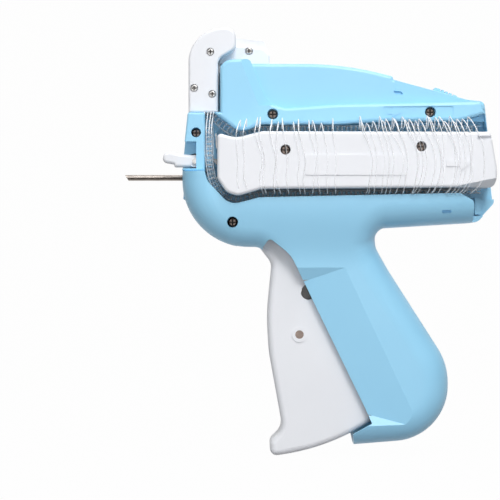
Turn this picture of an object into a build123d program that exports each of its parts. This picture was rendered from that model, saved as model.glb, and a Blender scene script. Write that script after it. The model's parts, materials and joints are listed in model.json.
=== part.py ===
from build123d import *
import math
import os

# Garment tag attacher: a pistol-grip tool that shoots plastic tag fasteners through cloth.
#
# Frame: millimetres. The origin is on the needle's axis at the front of the nose.
# +X runs back along the needle towards the feed end, +Z is up, and -Y is the near
# side, where the fastener strips lie over the side block.

# ---------------------------------------------------------------- levels across the tool (Y)
PART_Y = 2.0            # the two casing halves meet here
BODY_HALF = 15.0        # half the thickness of the grip and the lower housing
HEAD_HALF = 11.0        # half the thickness of the upper head
BLOCK_FACE_Y = -22.0    # face of the side block that the filaments lie over
WALL = 2.2              # moulded wall of the casings
BODY_ROUND = 10.0       # rounding of the lower housing and the grip
INNER_TIGHTER = 1.4     # how much less the hollow is rounded than a plain inset would be
BULGE = 5.0             # how far the lower housing stands out over the near face of the grip
SWELL_TOP_Z = -8.0      # where the near face starts to draw in
SWELL_LOW_Z = -35.0     # where it has reached the grip's face
TRACK_Y = 1.4           # near face of the track plate, which every strip slides past
TRACK_T = 1.6           # thickness of the track plate
GAP = 0.3               # clearance between neighbouring pieces that move past each other
FIT = 0.05              # radial clearance of a pin in its hole

BODY_NEAR_Y = PART_Y - BODY_HALF
BODY_FAR_Y = PART_Y + BODY_HALF
HEAD_NEAR_Y = PART_Y - HEAD_HALF
HEAD_FAR_Y = PART_Y + HEAD_HALF
SEAT_Y = TRACK_Y - 0.1  # where walls that close on the track plate end

# ---------------------------------------------------------------- head, side view (X, Z)
NOSE_X = -0.3           # front of the nose
NOSE_ROUND = 25.0       # sweep under the nose
SEAM_Z = 2.1            # seam between the nose block and the lower housing
NOSE_BACK_X = 8.2       # back of the nose, in front of the strip channel
HEAD_FRONT_X = 13.8     # front of the upper head
DECK_STEP_X = 78.6      # where the top steps down to the feed ramp
RAMP_END_X = 106.5      # its foot
RAMP_RECESS = 0.8       # how far the side of the ramp lies behind the head's face
HEAD_REAR_X = 117.4     # rearmost corner of the head
LOWER_REAR_X = 108.4    # rear end of the thick lower housing
REAR_ROUND = 5.0        # rounding of its upper rear corner
BELLY_Z = -26.4         # lowest line of the head, over the trigger
TAIL_Z = -17.0          # underside of the head at its rear
CORE_TOP_Z = 20.0       # how high the lower housing's solid reaches before it is cut along the track

# ---------------------------------------------------------------- strip tracks
UPPER_TRACK_Z = 19.8    # upper wall of the upper track
UPPER_TRACK_GAP = 3.3   # height of that track over the side block
TRACK_STEP_Z = UPPER_TRACK_Z + 1.2   # the same wall towards the rear, where the track opens
NOSE_TOP_Z = UPPER_TRACK_Z + 4.2     # top of the nose, under the strip guide
HEAD_TOP_Z = UPPER_TRACK_Z + 22.8    # flat top of the head
RAMP_START_Z = UPPER_TRACK_Z + 16.9  # top of the feed ramp
RAMP_END_Z = UPPER_TRACK_Z + 9.4     # foot of the feed ramp
LOWER_TRACK_Z = -7.8    # lower wall of the lower track at the front
LOWER_TRACK_REAR_Z = -6.2
CHANNEL_W = 4.8         # width of the upright channel behind the nose
RIM = 2.0               # wall of the track cover along the upper track
COVER_EDGE = 1.3        # rounding of its outer edges
BEVEL_W = 3.4           # width of the slanted edge along its front slope
BEVEL_DEPTH = 2.2
CHANNEL_WALL_Y = -0.8   # near face of the wall behind the strips in that channel
CHANNEL_WALL_Z = 4.0    # its lower end

# ---------------------------------------------------------------- side block
BLOCK_X0 = NOSE_BACK_X + CHANNEL_W
BLOCK_X1 = 116.2
BLOCK_TOP_Z = UPPER_TRACK_Z - UPPER_TRACK_GAP
BLOCK_BOTTOM_Z = -4.4
BLOCK_WALL = 2.0
BLOCK_EDGE = 1.2        # rounding of its face edges
BLOCK_BOSS_R = 2.8      # pillars around its screws
EMBOSS = 0.35           # height of the raised panel and arrow on its face

# ---------------------------------------------------------------- grip
GRIP_FRONT_TOP = (40.4, -29.2)
GRIP_BACK_X = 99.9
FACET_DEPTH = 2.4       # how far the front facet of the grip falls back at its edge
FACET_W = 15.5          # width of that facet
FACET_TOP_Z = -34.0     # where it runs out at the face, under the head
FACET_LOW_Z = -94.0     # and over the foot
FACET_RUN = 5.0         # height of the slopes at its ends
FACET_END_X = 96.0      # behind both slopes
CREASE_TOP = (57.5, -27.4)  # upper and lower ends of the crease behind it
CREASE_LOW = (84.0, -84.0)

# ---------------------------------------------------------------- trigger and drive
TRIGGER_PIVOT = (25.1, -22.0)
TRIGGER_HALF = 9.7      # half the trigger's width
TRIGGER_WALL = 2.0
TRIGGER_EDGE = 2.2      # rounding of its finger edges
TOE_ANGLE = -82.6       # ends of the trigger's lower edge, as seen from its pivot
HEEL_ANGLE = -57.4
TRIGGER_ARC = 83.4      # radius of the trigger's lower edge about its pivot
TRIGGER_SWEEP = 20.0    # degrees, full squeeze
LIP_GAP = 0.5           # gap between that edge and the lip of the grip
LIP_RISE = 6.1          # how far the front of the grip ends above that edge
FRONT_LOW_ANGLE = -56.2     # where it ends, as seen from the trigger's pivot
GRIP_FRONT_LOW = (TRIGGER_PIVOT[0] + (TRIGGER_ARC - LIP_RISE) * math.cos(math.radians(FRONT_LOW_ANGLE)),
                  TRIGGER_PIVOT[1] + (TRIGGER_ARC - LIP_RISE) * math.sin(math.radians(FRONT_LOW_ANGLE)))
GRIP_BASE_Z = TRIGGER_PIVOT[1] - TRIGGER_ARC + 3.8
LEVER_PIVOT = (53.0, -34.5)
LINK_POINT = (43.7, -59.2)
LEVER_SWEEP = 28.8      # degrees, for a full squeeze
STROKE = 33.0           # travel of the push rod
LEVER_Y = 6.0           # near face of the drive lever
LEVER_T = 2.6
SLIDE_Y = 3.3           # near face of the slide block
SLIDE_T = 2.2
SLIDE_W = 10.0
PIN_R = 1.5             # pivot pins of the trigger and the lever
PIN_DEPTH = 2.6         # how far the ends of those pins lie below the side faces
CUP_DEPTH = 2.0         # where the sockets around them begin, inside the wall
LINK_R = 1.6            # link pin
LINK_DIMPLE_R = 0.8     # hollow in its ends
LINK_RING = 1.3         # width of the raised ring around it on the trigger
LINK_RING_T = 0.3
TOP_PIN_R = 1.2
HUB_R = 4.4             # hub of the drive lever
ARM_W = 7.6             # width of its arms
NOTCH_R = 2.8           # half width of the trigger's notch for the lever pivot

# ---------------------------------------------------------------- needle and rod
NEEDLE_R = 1.1
NEEDLE_BORE_R = 0.75
NEEDLE_OUT = 22.8       # length in front of the nose
NEEDLE_SLOT_W = 0.7
NEEDLE_BACK_X = 7.9
NEEDLE_SEAT_R = 1.35    # its thicker root, which the hub holds
SHOULDER_X = 0.1        # where the root begins
HUB_NEEDLE_R = 1.9
ROD_TIP_X = 10.4        # tip of the push rod at rest
ROD_WIRE_R = 0.55
ROD_HALF = 1.15         # half the thickness of the square bar behind it
ROD_STEP_X = 47.0       # where the rod thickens
BRACKET_HALF = 2.2      # half height of the bracket through the track plate
BRACKET_W = 7.0         # its width along the rod
RAIL_Z = 35.2           # underside of the upper slide rail
RAIL_T = 1.6            # height of both rails
SPRING_Y = 8.1          # middle of the return spring
SPRING_R = 1.5
SPRING_WIRE_R = 0.3
SPRING_TURNS = 14

# ---------------------------------------------------------------- feed
ROCKER_PIVOT = (33.0, 3.6)
ROCKER_ARM = 19.0       # from its pivot to the pawl
FOLLOWER_ARM = 22.0     # from its pivot to the follower in the cam
ROCKER_SWEEP = 6.0      # degrees, for a full squeeze
ROCKER_Y = -7.4
ROCKER_T = 2.2
CAM_Y = -4.6
CAM_T = 1.6
PAWL_T = 2.6
FOLLOWER_R = 0.9
CAM_CLEARANCE = 0.15    # between the follower and the sides of the cam's slot

# ---------------------------------------------------------------- strip guide
GUIDE_X0 = 2.0
GUIDE_X1 = 13.2
GUIDE_NEAR_Y = -9.0
GUIDE_SPLIT_Y = -2.0
GUIDE_FAR_Y = 5.0
GUIDE_TOP_Z = HEAD_TOP_Z + 13.4
GUIDE_WALL = 1.8
GUIDE_BOSS_R = 1.5      # pillars around its screws; the strips pass between them
TONGUE_X0 = 8.6         # tongue that holds the guide in the head
TONGUE_W = 4.0
TONGUE_LOW_Z = 14.0
ARM_END_X = 32.5
ARM_TOP_Z = HEAD_TOP_Z + 11.0

# ---------------------------------------------------------------- lock lever and release slider
LOCK_PIVOT = (4.5, 5.9)
LOCK_REACH = 11.9       # from its pivot to its tip
LOCK_NEAR_Y = BODY_NEAR_Y + 2.6
LOCK_T = 4.8
LOCK_NECK = 4.5
LOCK_ROUND = 1.2        # rounding of its edges
SLIDER_X0 = 94.2
SLIDER_LEN = 9.6
SLIDER_RISE = 1.7
SLIDER_TRAVEL = 5.0

# ---------------------------------------------------------------- fasteners
SCREW_HEAD_R = 1.75
SCREW_HEAD_T = 1.3
SCREW_R = 1.1
SMALL_HEAD_R = 1.35
SMALL_HEAD_T = 1.0
SMALL_SCREW_R = 0.8
THREAD_PLAY = 0.1       # how much smaller a thread's hole is than a through hole
HEAD_CLEARANCE = 0.3    # around a screw head in its recess
FRONT_SCREW_DEPTH = 3.0     # how deep the front screw's head lies
COVER_SCREW_DEPTH = 2.0     # and those of the cover
BOSS_R = 3.0
STRIP_T = 1.0           # thickness of a fastener strip's runner
STRIP_W = 1.8           # its width across the track
STRIP_Y = -3.1          # middle of the runner
UPPER_RUNNER_X = 8.7    # the two runners side by side in the strip guide
LOWER_RUNNER_X = 6.9
RUNNER_END_Z = NOSE_TOP_Z + 20.0
FILAMENT_R = 0.28
CHANNEL_FILAMENT_Y = -9.6   # the filaments in the upright channel, clear of the pawl
FILAMENT_PITCH = 1.75
FILAMENT_COUNT = 44     # filaments over the side block
FILAMENT_X0 = 31.5      # the first of them


# ---------------------------------------------------------------- helpers
def outline(*corners):
    """Closed face in the side view from corners (x, z) or (x, z, corner radius)."""
    points = [(corner[0], corner[1]) for corner in corners]
    radii = [corner[2] if len(corner) > 2 else 0 for corner in corners]
    return make_face(FilletPolyline(*points, radius=radii, close=True))


def side_plane(y):
    """Plane seen from the near side at level y: X to the right, Z up."""
    return Plane(origin=(0, y, 0), x_dir=(1, 0, 0), z_dir=(0, -1, 0))


def slab(face, near, far):
    """Solid of a side-view face between two levels across the tool."""
    return extrude(side_plane(far) * face, far - near)


def pin(x, z, radius, near, far):
    """Cylinder across the tool."""
    return slab(Pos(x, z) * Circle(radius), near, far)


def box(x0, x1, near, far, z0, z1):
    """Rectangular solid between two corners."""
    return slab(outline((x0, z0), (x1, z0), (x1, z1), (x0, z1)), near, far)


def along_x(y, z, radius, x0, x1):
    """Cylinder along the needle's direction."""
    plane = Plane(origin=(x0, y, z), x_dir=(0, 1, 0), z_dir=(1, 0, 0))
    return extrude(plane * Circle(radius), x1 - x0)


def turned(point, centre, degrees):
    """Point turned about a centre, anticlockwise in the side view."""
    angle = math.radians(degrees)
    x = point[0] - centre[0]
    z = point[1] - centre[1]
    return (centre[0] + x * math.cos(angle) - z * math.sin(angle),
            centre[1] + x * math.sin(angle) + z * math.cos(angle))


def shifted(points, dx, dz):
    """Corners moved in the side view, with their radii kept."""
    return [(p[0] + dx, p[1] + dz) + tuple(p[2:]) for p in points]


def face_edges(solid, y, keep=lambda edge: True):
    """Edges of a solid that lie flat at level y."""
    flat = [edge for edge in solid.edges()
            if abs(edge.bounding_box().min.Y - y) < 0.01 and abs(edge.bounding_box().max.Y - y) < 0.01]
    return [edge for edge in flat if keep(edge)]


def soften(solid, y, radius, keep=lambda edge: True):
    """Round the edges of a solid at level y."""
    return fillet(face_edges(solid, y, keep), radius)


def screw(x, z, head_y, length, small=False, inward=1):
    """Screw with a domed head and a cross recess. Its head faces -Y, or +Y when inward is -1."""
    head_r, thick, shank_r = SCREW_HEAD_R, SCREW_HEAD_T, SCREW_R - THREAD_PLAY
    if small:
        head_r, thick, shank_r = SMALL_HEAD_R, SMALL_HEAD_T, SMALL_SCREW_R
    near, far = sorted((head_y, head_y + inward * thick))
    head = pin(x, z, head_r, near, far)
    head = soften(head, head_y, head_r * 0.35)
    near, far = sorted((head_y + inward * thick, head_y + inward * length))
    shank = pin(x, z, shank_r, near, far)
    near, far = sorted((head_y - inward, head_y + inward * thick * 0.85))
    slot_w = head_r * 0.32
    reach = head_r * 0.68
    cross = box(x - reach, x + reach, near, far, z - slot_w / 2, z + slot_w / 2)
    cross += box(x - slot_w / 2, x + slot_w / 2, near, far, z - reach, z + reach)
    return head + shank - cross


def swept_strip(points, radii, width, thick, y):
    """Flat strip that follows a side-view path, `width` across the tool."""
    path = FilletPolyline(*[(x, y, z) for x, z in points], radius=radii)
    start = path % 0
    plane = Plane(origin=path @ 0, x_dir=(0, 1, 0), z_dir=start)
    return sweep(plane * Rectangle(width, thick), path=path)


# ---------------------------------------------------------------- outlines
def head_outline():
    """Whole head in the side view, nose included."""
    return outline(
        (NOSE_X + 2.1, NOSE_TOP_Z, 1.0),
        (HEAD_FRONT_X, NOSE_TOP_Z, 0.6),
        (HEAD_FRONT_X, HEAD_TOP_Z, 1.6),
        (DECK_STEP_X - 17.6, HEAD_TOP_Z, 120.0),
        (DECK_STEP_X, RAMP_START_Z + 1.2, 0.5),
        (DECK_STEP_X + 0.5, RAMP_START_Z, 0.4),
        (RAMP_END_X, RAMP_END_Z, 5.0),
        (HEAD_REAR_X - 4.2, RAMP_END_Z - 0.8, 2.2),
        (HEAD_REAR_X, TAIL_Z + 7.4, 2.6),
        (HEAD_REAR_X - 6.8, TAIL_Z, 4.0),
        (40.0, TAIL_Z - 2.4),
        (NOSE_X, -8.0),
    )


def core_outline():
    """Lower housing and grip before their edges are cut to shape."""
    return outline(
        (NOSE_X, CORE_TOP_Z),
        (HEAD_REAR_X + 4.0, CORE_TOP_Z),
        (HEAD_REAR_X + 4.0, TAIL_Z + 0.6),
        (71.8, -19.4, 4.0),
        (72.5, -26.5, 8.0),
        (77.5, -35.3, 25.0),
        (GRIP_BACK_X, GRIP_BASE_Z + 31.2, 24.0),
        (GRIP_BACK_X, GRIP_BASE_Z + 3.6, 21.0),
        (30.0, GRIP_BASE_Z - 2.0, 12.0),
        (30.0, BELLY_Z, 3.0),
        (NOSE_X, BELLY_Z, NOSE_ROUND),
    )


def lower_track_line(drop=0.0):
    """Corners of the lower track's lower wall, front to rear."""
    return shifted([
        (NOSE_BACK_X, SEAM_Z + drop),
        (NOSE_BACK_X + 0.9, -1.6, 6.0),
        (17.6, -10.6, 6.0),
        (29.0, LOWER_TRACK_Z, 8.0),
        (LOWER_REAR_X - 5.2, LOWER_TRACK_REAR_Z, 4.0),
        (LOWER_REAR_X + 0.8, LOWER_TRACK_REAR_Z - 3.6, 1.2),
    ], 0, -drop)


def upper_track_line(rise=0.0):
    """Corners of the upper track's upper wall, rear to front."""
    return shifted([
        (HEAD_REAR_X - 4.5, TRACK_STEP_Z + 2.6),
        (103.0, TRACK_STEP_Z, 8.0),
        (77.0, TRACK_STEP_Z, 12.0),
        (58.0, UPPER_TRACK_Z, 12.0),
        (29.5, UPPER_TRACK_Z, 4.0),
        (21.6, UPPER_TRACK_Z - 3.2, 7.0),
        (11.5, NOSE_TOP_Z),
    ], 0, rise)


def cover_outline():
    """Thick upper track cover."""
    return outline(
        (HEAD_FRONT_X + 0.2, NOSE_TOP_Z + 0.2),
        (HEAD_FRONT_X + 0.1, HEAD_TOP_Z + 1.1, 4.4),
        (25.0, HEAD_TOP_Z + 1.5, 1.8),
        (31.6, UPPER_TRACK_Z + 7.8, 7.0),
        (38.5, UPPER_TRACK_Z + 5.8, 6.0),
        (58.0, UPPER_TRACK_Z + 7.2, 20.0),
        (HEAD_REAR_X - 5.8, RAMP_END_Z - 1.1, 1.8),
        *upper_track_line(),
    )


def block_outline():
    """Side block that holds the two strips apart."""
    return outline(
        (BLOCK_X0, BLOCK_TOP_Z - 0.5, 1.4),
        (20.0, BLOCK_TOP_Z - 2.5, 9.0),
        (29.4, BLOCK_TOP_Z, 5.0),
        (BLOCK_X1 - 2.2, BLOCK_TOP_Z - 0.2, 1.4),
        (BLOCK_X1 + 0.3, 2.0, 20.0),
        (BLOCK_X1 - 0.3, BLOCK_BOTTOM_Z + 0.3, 1.8),
        (29.4, BLOCK_BOTTOM_Z - 0.4, 6.0),
        (20.6, BLOCK_BOTTOM_Z - 3.0, 5.0),
        (16.4, BLOCK_BOTTOM_Z - 1.6, 4.0),
        (BLOCK_X0, BLOCK_BOTTOM_Z + 3.4, 2.0),
    )


def arc_corner(centre, radius, start, end):
    """Corner whose rounding is the arc about a centre between two angles."""
    middle = math.radians((start + end) / 2)
    reach = radius / math.cos(math.radians((end - start) / 2))
    return (centre[0] + reach * math.cos(middle), centre[1] + reach * math.sin(middle), radius)


def past_arc(centre, radius, angle, extra):
    """Point on the tangent of an arc, `extra` past its end at the angle. Negative runs clockwise."""
    turn = math.radians(angle)
    return (centre[0] + radius * math.cos(turn) - extra * math.sin(turn),
            centre[1] + radius * math.sin(turn) + extra * math.cos(turn))


def trigger_outline(inset=0.0, hollow=False):
    """Side view of the trigger, or of the hollow inside its walls, which is open at the back."""
    px, pz = TRIGGER_PIVOT
    radius = TRIGGER_ARC - inset
    toe = past_arc(TRIGGER_PIVOT, radius, TOE_ANGLE, -3.2 + 0.8 * inset)
    heel = past_arc(TRIGGER_PIVOT, radius, HEEL_ANGLE, 40.0 if hollow else 0.6)
    if hollow:
        top = pz + 20.0
        back = [(heel[0], top)]
    else:
        top = pz + 2.0
        back = [(heel[0] + 0.8, heel[1] + 2.0), (50.6, -38.0), (40.5, -22.4), (30.0, pz + 2.6)]
    return outline(
        (px - 3.6 + inset, top, 1.2),
        (px - 3.6 + inset, BELLY_Z + 0.6, 1.4),
        (px + 3.4 + inset, BELLY_Z + 0.2),
        (33.3 + inset, -32.4, 5.0),
        (31.4 + inset, -52.0, 70.0),
        (32.2 + inset, -66.0, 60.0),
        (37.4 + inset, pz - TRIGGER_ARC + 10.6, 6.0),
        (32.6 + inset, pz - TRIGGER_ARC + 5.8, 2.8),
        (toe[0], toe[1], 2.5 - 0.75 * inset),
        arc_corner(TRIGGER_PIVOT, radius, TOE_ANGLE, HEEL_ANGLE),
        heel,
        *back,
    )


def guide_outline(inset=0.0):
    """Strip guide: an upright channel that bends back at its top."""
    return outline(
        (GUIDE_X0 + inset, NOSE_TOP_Z + 0.2 + inset),
        (GUIDE_X0 + inset, GUIDE_TOP_Z - inset - 0.3, 13.0 - inset),
        (GUIDE_X1 + 6.6 - inset, GUIDE_TOP_Z - inset + 0.3, 3.6 - inset),
        (GUIDE_X1 + 6.6 - inset, GUIDE_TOP_Z - 7.6 + inset / 2, 3.4 - inset),
        (GUIDE_X1 + inset / 3 - 0.1, HEAD_TOP_Z + 1.8 + inset / 2, 4.0),
        (GUIDE_X1 - inset, NOSE_TOP_Z + 0.2 + inset),
    )


def arm_outline(top):
    """Arm behind the guide that carries the spent runner off over the head."""
    return outline(
        (GUIDE_X0 + 2.0, NOSE_TOP_Z + 0.3),
        (GUIDE_X0 + 2.0, top - 6.0, 6.0),
        (GUIDE_X1 + 1.5, top, 4.0),
        (ARM_END_X - 2.2, top - 1.8, 1.0),
        (ARM_END_X, HEAD_TOP_Z + 3.8, 2.0),
        (ARM_END_X, HEAD_TOP_Z + 0.2),
        (GUIDE_X1 + 0.4, HEAD_TOP_Z + 0.2),
        (GUIDE_X1 - 0.3, NOSE_TOP_Z + 0.3),
    )


# ---------------------------------------------------------------- places that several pieces share
LOW_CASE_SCREWS = [(64.8, -27.5), (90.6, GRIP_BASE_Z + 15.4), (78.0, GRIP_BASE_Z + 7.1), (103.0, -11.6)]
HIGH_CASE_SCREWS = [(18.6, UPPER_TRACK_Z + 16.7), (82.0, UPPER_TRACK_Z + 11.6)]
CASE_SCREWS = LOW_CASE_SCREWS + HIGH_CASE_SCREWS
FRONT_SCREW = (18.6, -17.0)
COVER_SCREWS = [(33.6, UPPER_TRACK_Z + 3.6), (92.5, UPPER_TRACK_Z + 4.4)]
BLOCK_SCREWS = [(38.2, 9.7), (88.4, 10.9)]
GUIDE_SCREWS = [(10.2, NOSE_TOP_Z + 23.0), (4.1, NOSE_TOP_Z + 9.4), (10.9, NOSE_TOP_Z + 7.2)]
ARM_SCREW = (24.7, HEAD_TOP_Z + 5.4)
NOSE_SCREW = (4.9, 16.6)
SPRING_ANCHOR = (100.0, UPPER_TRACK_Z + 4.2)
RAMP_ANGLE = math.degrees(math.atan2(RAMP_START_Z - RAMP_END_Z, RAMP_END_X - DECK_STEP_X - 0.5))


def lever_top(degrees=0.0):
    """Top pin of the drive lever when the lever has turned."""
    reach = STROKE / (2 * math.sin(math.radians(LEVER_SWEEP / 2)))
    start = (LEVER_PIVOT[0], LEVER_PIVOT[1] + reach)
    return turned(start, LEVER_PIVOT, degrees - LEVER_SWEEP / 2)


def link_path():
    """The link pin's place in the lever's own frame at rest, half squeeze and full squeeze."""
    places = []
    for share in (0.0, 0.5, 1.0):
        world = turned(LINK_POINT, TRIGGER_PIVOT, TRIGGER_SWEEP * share)
        places.append(turned(world, LEVER_PIVOT, -LEVER_SWEEP * share))
    return places


def above_line(line, top, rear):
    """Region above a track line, up to `top` and back to `rear`."""
    first = line[0]
    last = line[-1]
    return outline((first[0], top), *line, (rear, last[1]), (rear, top))


# ---------------------------------------------------------------- casings
def swell(inset=0.0):
    """Room between the far side and the near face, which swells out from the grip up to the lower housing."""
    grip_y = BODY_NEAR_Y + inset
    head_y = grip_y - BULGE
    side = Spline((head_y, SWELL_TOP_Z), (grip_y, SWELL_LOW_Z), tangents=((0, -1), (0, -1)))
    edge = side + Polyline(side @ 1, (grip_y, -130), (60, -130), (60, 40), (head_y, 40), side @ 0)
    return Pos(-20, 0, 0) * extrude(Plane.YZ * make_face(edge), 180)


def rounded_core(inset=0.0):
    """Lower housing and grip as one rounded body. `inset` shrinks it on every side."""
    face = core_outline()
    if inset:
        face = offset(face, -inset, kind=Kind.ARC)
    near = BODY_NEAR_Y + inset
    far = BODY_FAR_Y - inset
    rounding = BODY_ROUND - inset - (INNER_TIGHTER if inset else 0.0)
    body = slab(face, near - BULGE - 1, far) & swell(inset)

    def rounded(edge):
        middle = edge.center()
        return middle.Z < CORE_TOP_Z - 1.0 and middle.X < HEAD_REAR_X + 3.0

    def near_edge(edge):
        return edge.bounding_box().max.Y < near + 0.5
    body = fillet([edge for edge in body.edges() if near_edge(edge) and rounded(edge)], rounding)
    body = soften(body, far, rounding, rounded)
    return body


def facet_cutters(inset=0.0):
    """Slanted blocks that shape the front facets of the grip, one on each side."""
    run = (CREASE_LOW[0] - CREASE_TOP[0], CREASE_LOW[1] - CREASE_TOP[1])
    length = math.hypot(*run)
    lean = math.degrees(math.atan2(run[0], -run[1]))
    slope = math.degrees(math.atan2(FACET_DEPTH, FACET_W))
    half = BODY_HALF - inset
    middle = ((CREASE_TOP[0] + CREASE_LOW[0]) / 2, (CREASE_TOP[1] + CREASE_LOW[1]) / 2)
    cutters = []
    for side in (-1, 1):
        block = Pos(-20, 0, 0) * Box(40, 40, length + 60)
        block = Pos(0, side * 20, 0) * block
        block = Rot(0, 0, side * slope) * block
        block = Rot(0, -lean, 0) * block
        cutters.append(Pos(middle[0], PART_Y + side * half, middle[1]) * block)
    return cutters


def grip_facets(body, inset=0.0):
    """Cut the front facets, which run out in slopes under the head and over the foot."""
    ends = []
    for face_z, run, over in ((FACET_TOP_Z, -FACET_RUN, 60), (FACET_LOW_Z, FACET_RUN, -140)):
        reach = 2 * FACET_DEPTH
        out = reach + BULGE
        inner_z = face_z + run * reach / FACET_DEPTH
        outer_z = face_z - run * out / FACET_DEPTH
        far = PART_Y + BODY_HALF
        near = PART_Y - BODY_HALF
        profile = make_face(Polyline((near - out, outer_z), (near + reach, inner_z), (far - reach, inner_z),
                                     (far + out, outer_z), (far + out, over), (near - out, over), close=True))
        ends.append(Pos(-10, 0, 0) * extrude(Plane.YZ * profile, FACET_END_X + 10))
    for cutter in facet_cutters(inset):
        body = body - (cutter - ends)
    return body


def bay_outline():
    """Opening at the front of the grip for the trigger, seen from the side."""
    lip_r = TRIGGER_ARC + LIP_GAP
    lip_tip = math.radians(-62.6)
    lip_root = math.radians(-57.0)
    tip = (TRIGGER_PIVOT[0] + lip_r * math.cos(lip_tip), TRIGGER_PIVOT[1] + lip_r * math.sin(lip_tip))
    root = (TRIGGER_PIVOT[0] + lip_r * math.cos(lip_root), TRIGGER_PIVOT[1] + lip_r * math.sin(lip_root))
    return outline(
        (29.9, -34.0),
        (29.9, BELLY_Z, 0.6),
        (32.4, -22.9, 1.4),
        (GRIP_FRONT_TOP[0], GRIP_FRONT_TOP[1], 14.0),
        (GRIP_FRONT_LOW[0], GRIP_FRONT_LOW[1], 10.0),
        (root[0], root[1], 0.4),
        (tip[0], tip[1], 0.8),
        (tip[0] + 1.6, GRIP_BASE_Z - 6.0),
        (10.0, GRIP_BASE_Z - 6.0),
        (10.0, -34.0),
    )


def lower_shell():
    """Hollow lower housing and grip, both halves still joined."""
    body = grip_facets(rounded_core())
    cavity = grip_facets(rounded_core(WALL), WALL) & box(-20, LOWER_REAR_X - WALL, -40, 40, -120, 60)
    high = CORE_TOP_Z + 2.0
    top = above_line(lower_track_line(), high, HEAD_REAR_X + 6.0)
    nose_top = outline((NOSE_X - 3, SEAM_Z), (NOSE_BACK_X + 0.1, SEAM_Z), (NOSE_BACK_X + 0.1, high),
                       (NOSE_X - 3, high))
    rear = box(LOWER_REAR_X, HEAD_REAR_X + 6, -40, 40, -40, high)
    corner = box(LOWER_REAR_X - REAR_ROUND, LOWER_REAR_X, -40, 40, LOWER_TRACK_REAR_Z - REAR_ROUND, 0)
    rear = rear + (corner - pin(LOWER_REAR_X - REAR_ROUND, LOWER_TRACK_REAR_Z - REAR_ROUND, REAR_ROUND, -41,
                                41))
    body = body - slab(top, -40, 40) - slab(nose_top, -40, 40) - rear
    body = body - slab(bay_outline(), -40, 40)
    cavity = cavity - slab(above_line(lower_track_line(WALL), high, HEAD_REAR_X + 6.0), -40, 40)
    cavity = cavity - box(NOSE_X - 3, NOSE_BACK_X + WALL, -40, 40, -6.0, high)
    shell = body - cavity
    half = TRIGGER_HALF + GAP * 2
    opening = box(TRIGGER_PIVOT[0] - 5.0, 36.0, PART_Y - half, PART_Y + half, BELLY_Z - 4, -19.0)
    return shell - opening


def bosses(places, near, far, radius=BOSS_R):
    """Round pillars across a casing half."""
    pillars = [pin(x, z, radius, near, far) for x, z in places]
    return Part() + pillars


def pivot_cups(near, far):
    """Sockets in the casing for the ends of the two pivot pins."""
    cups = [pin(p[0], p[1], PIN_R + 1.9, near, far) for p in (TRIGGER_PIVOT, LEVER_PIVOT)]
    return Part() + cups


def pivot_pin(place):
    """Pin across both casing halves, which is also the shape of its holes."""
    return largest(pin(place[0], place[1], PIN_R, BODY_NEAR_Y + PIN_DEPTH, BODY_FAR_Y - PIN_DEPTH))


def pivot_holes():
    """Holes for the ends of the two pivot pins."""
    return Part() + [pivot_pin(TRIGGER_PIVOT), pivot_pin(LEVER_PIVOT)]


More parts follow.
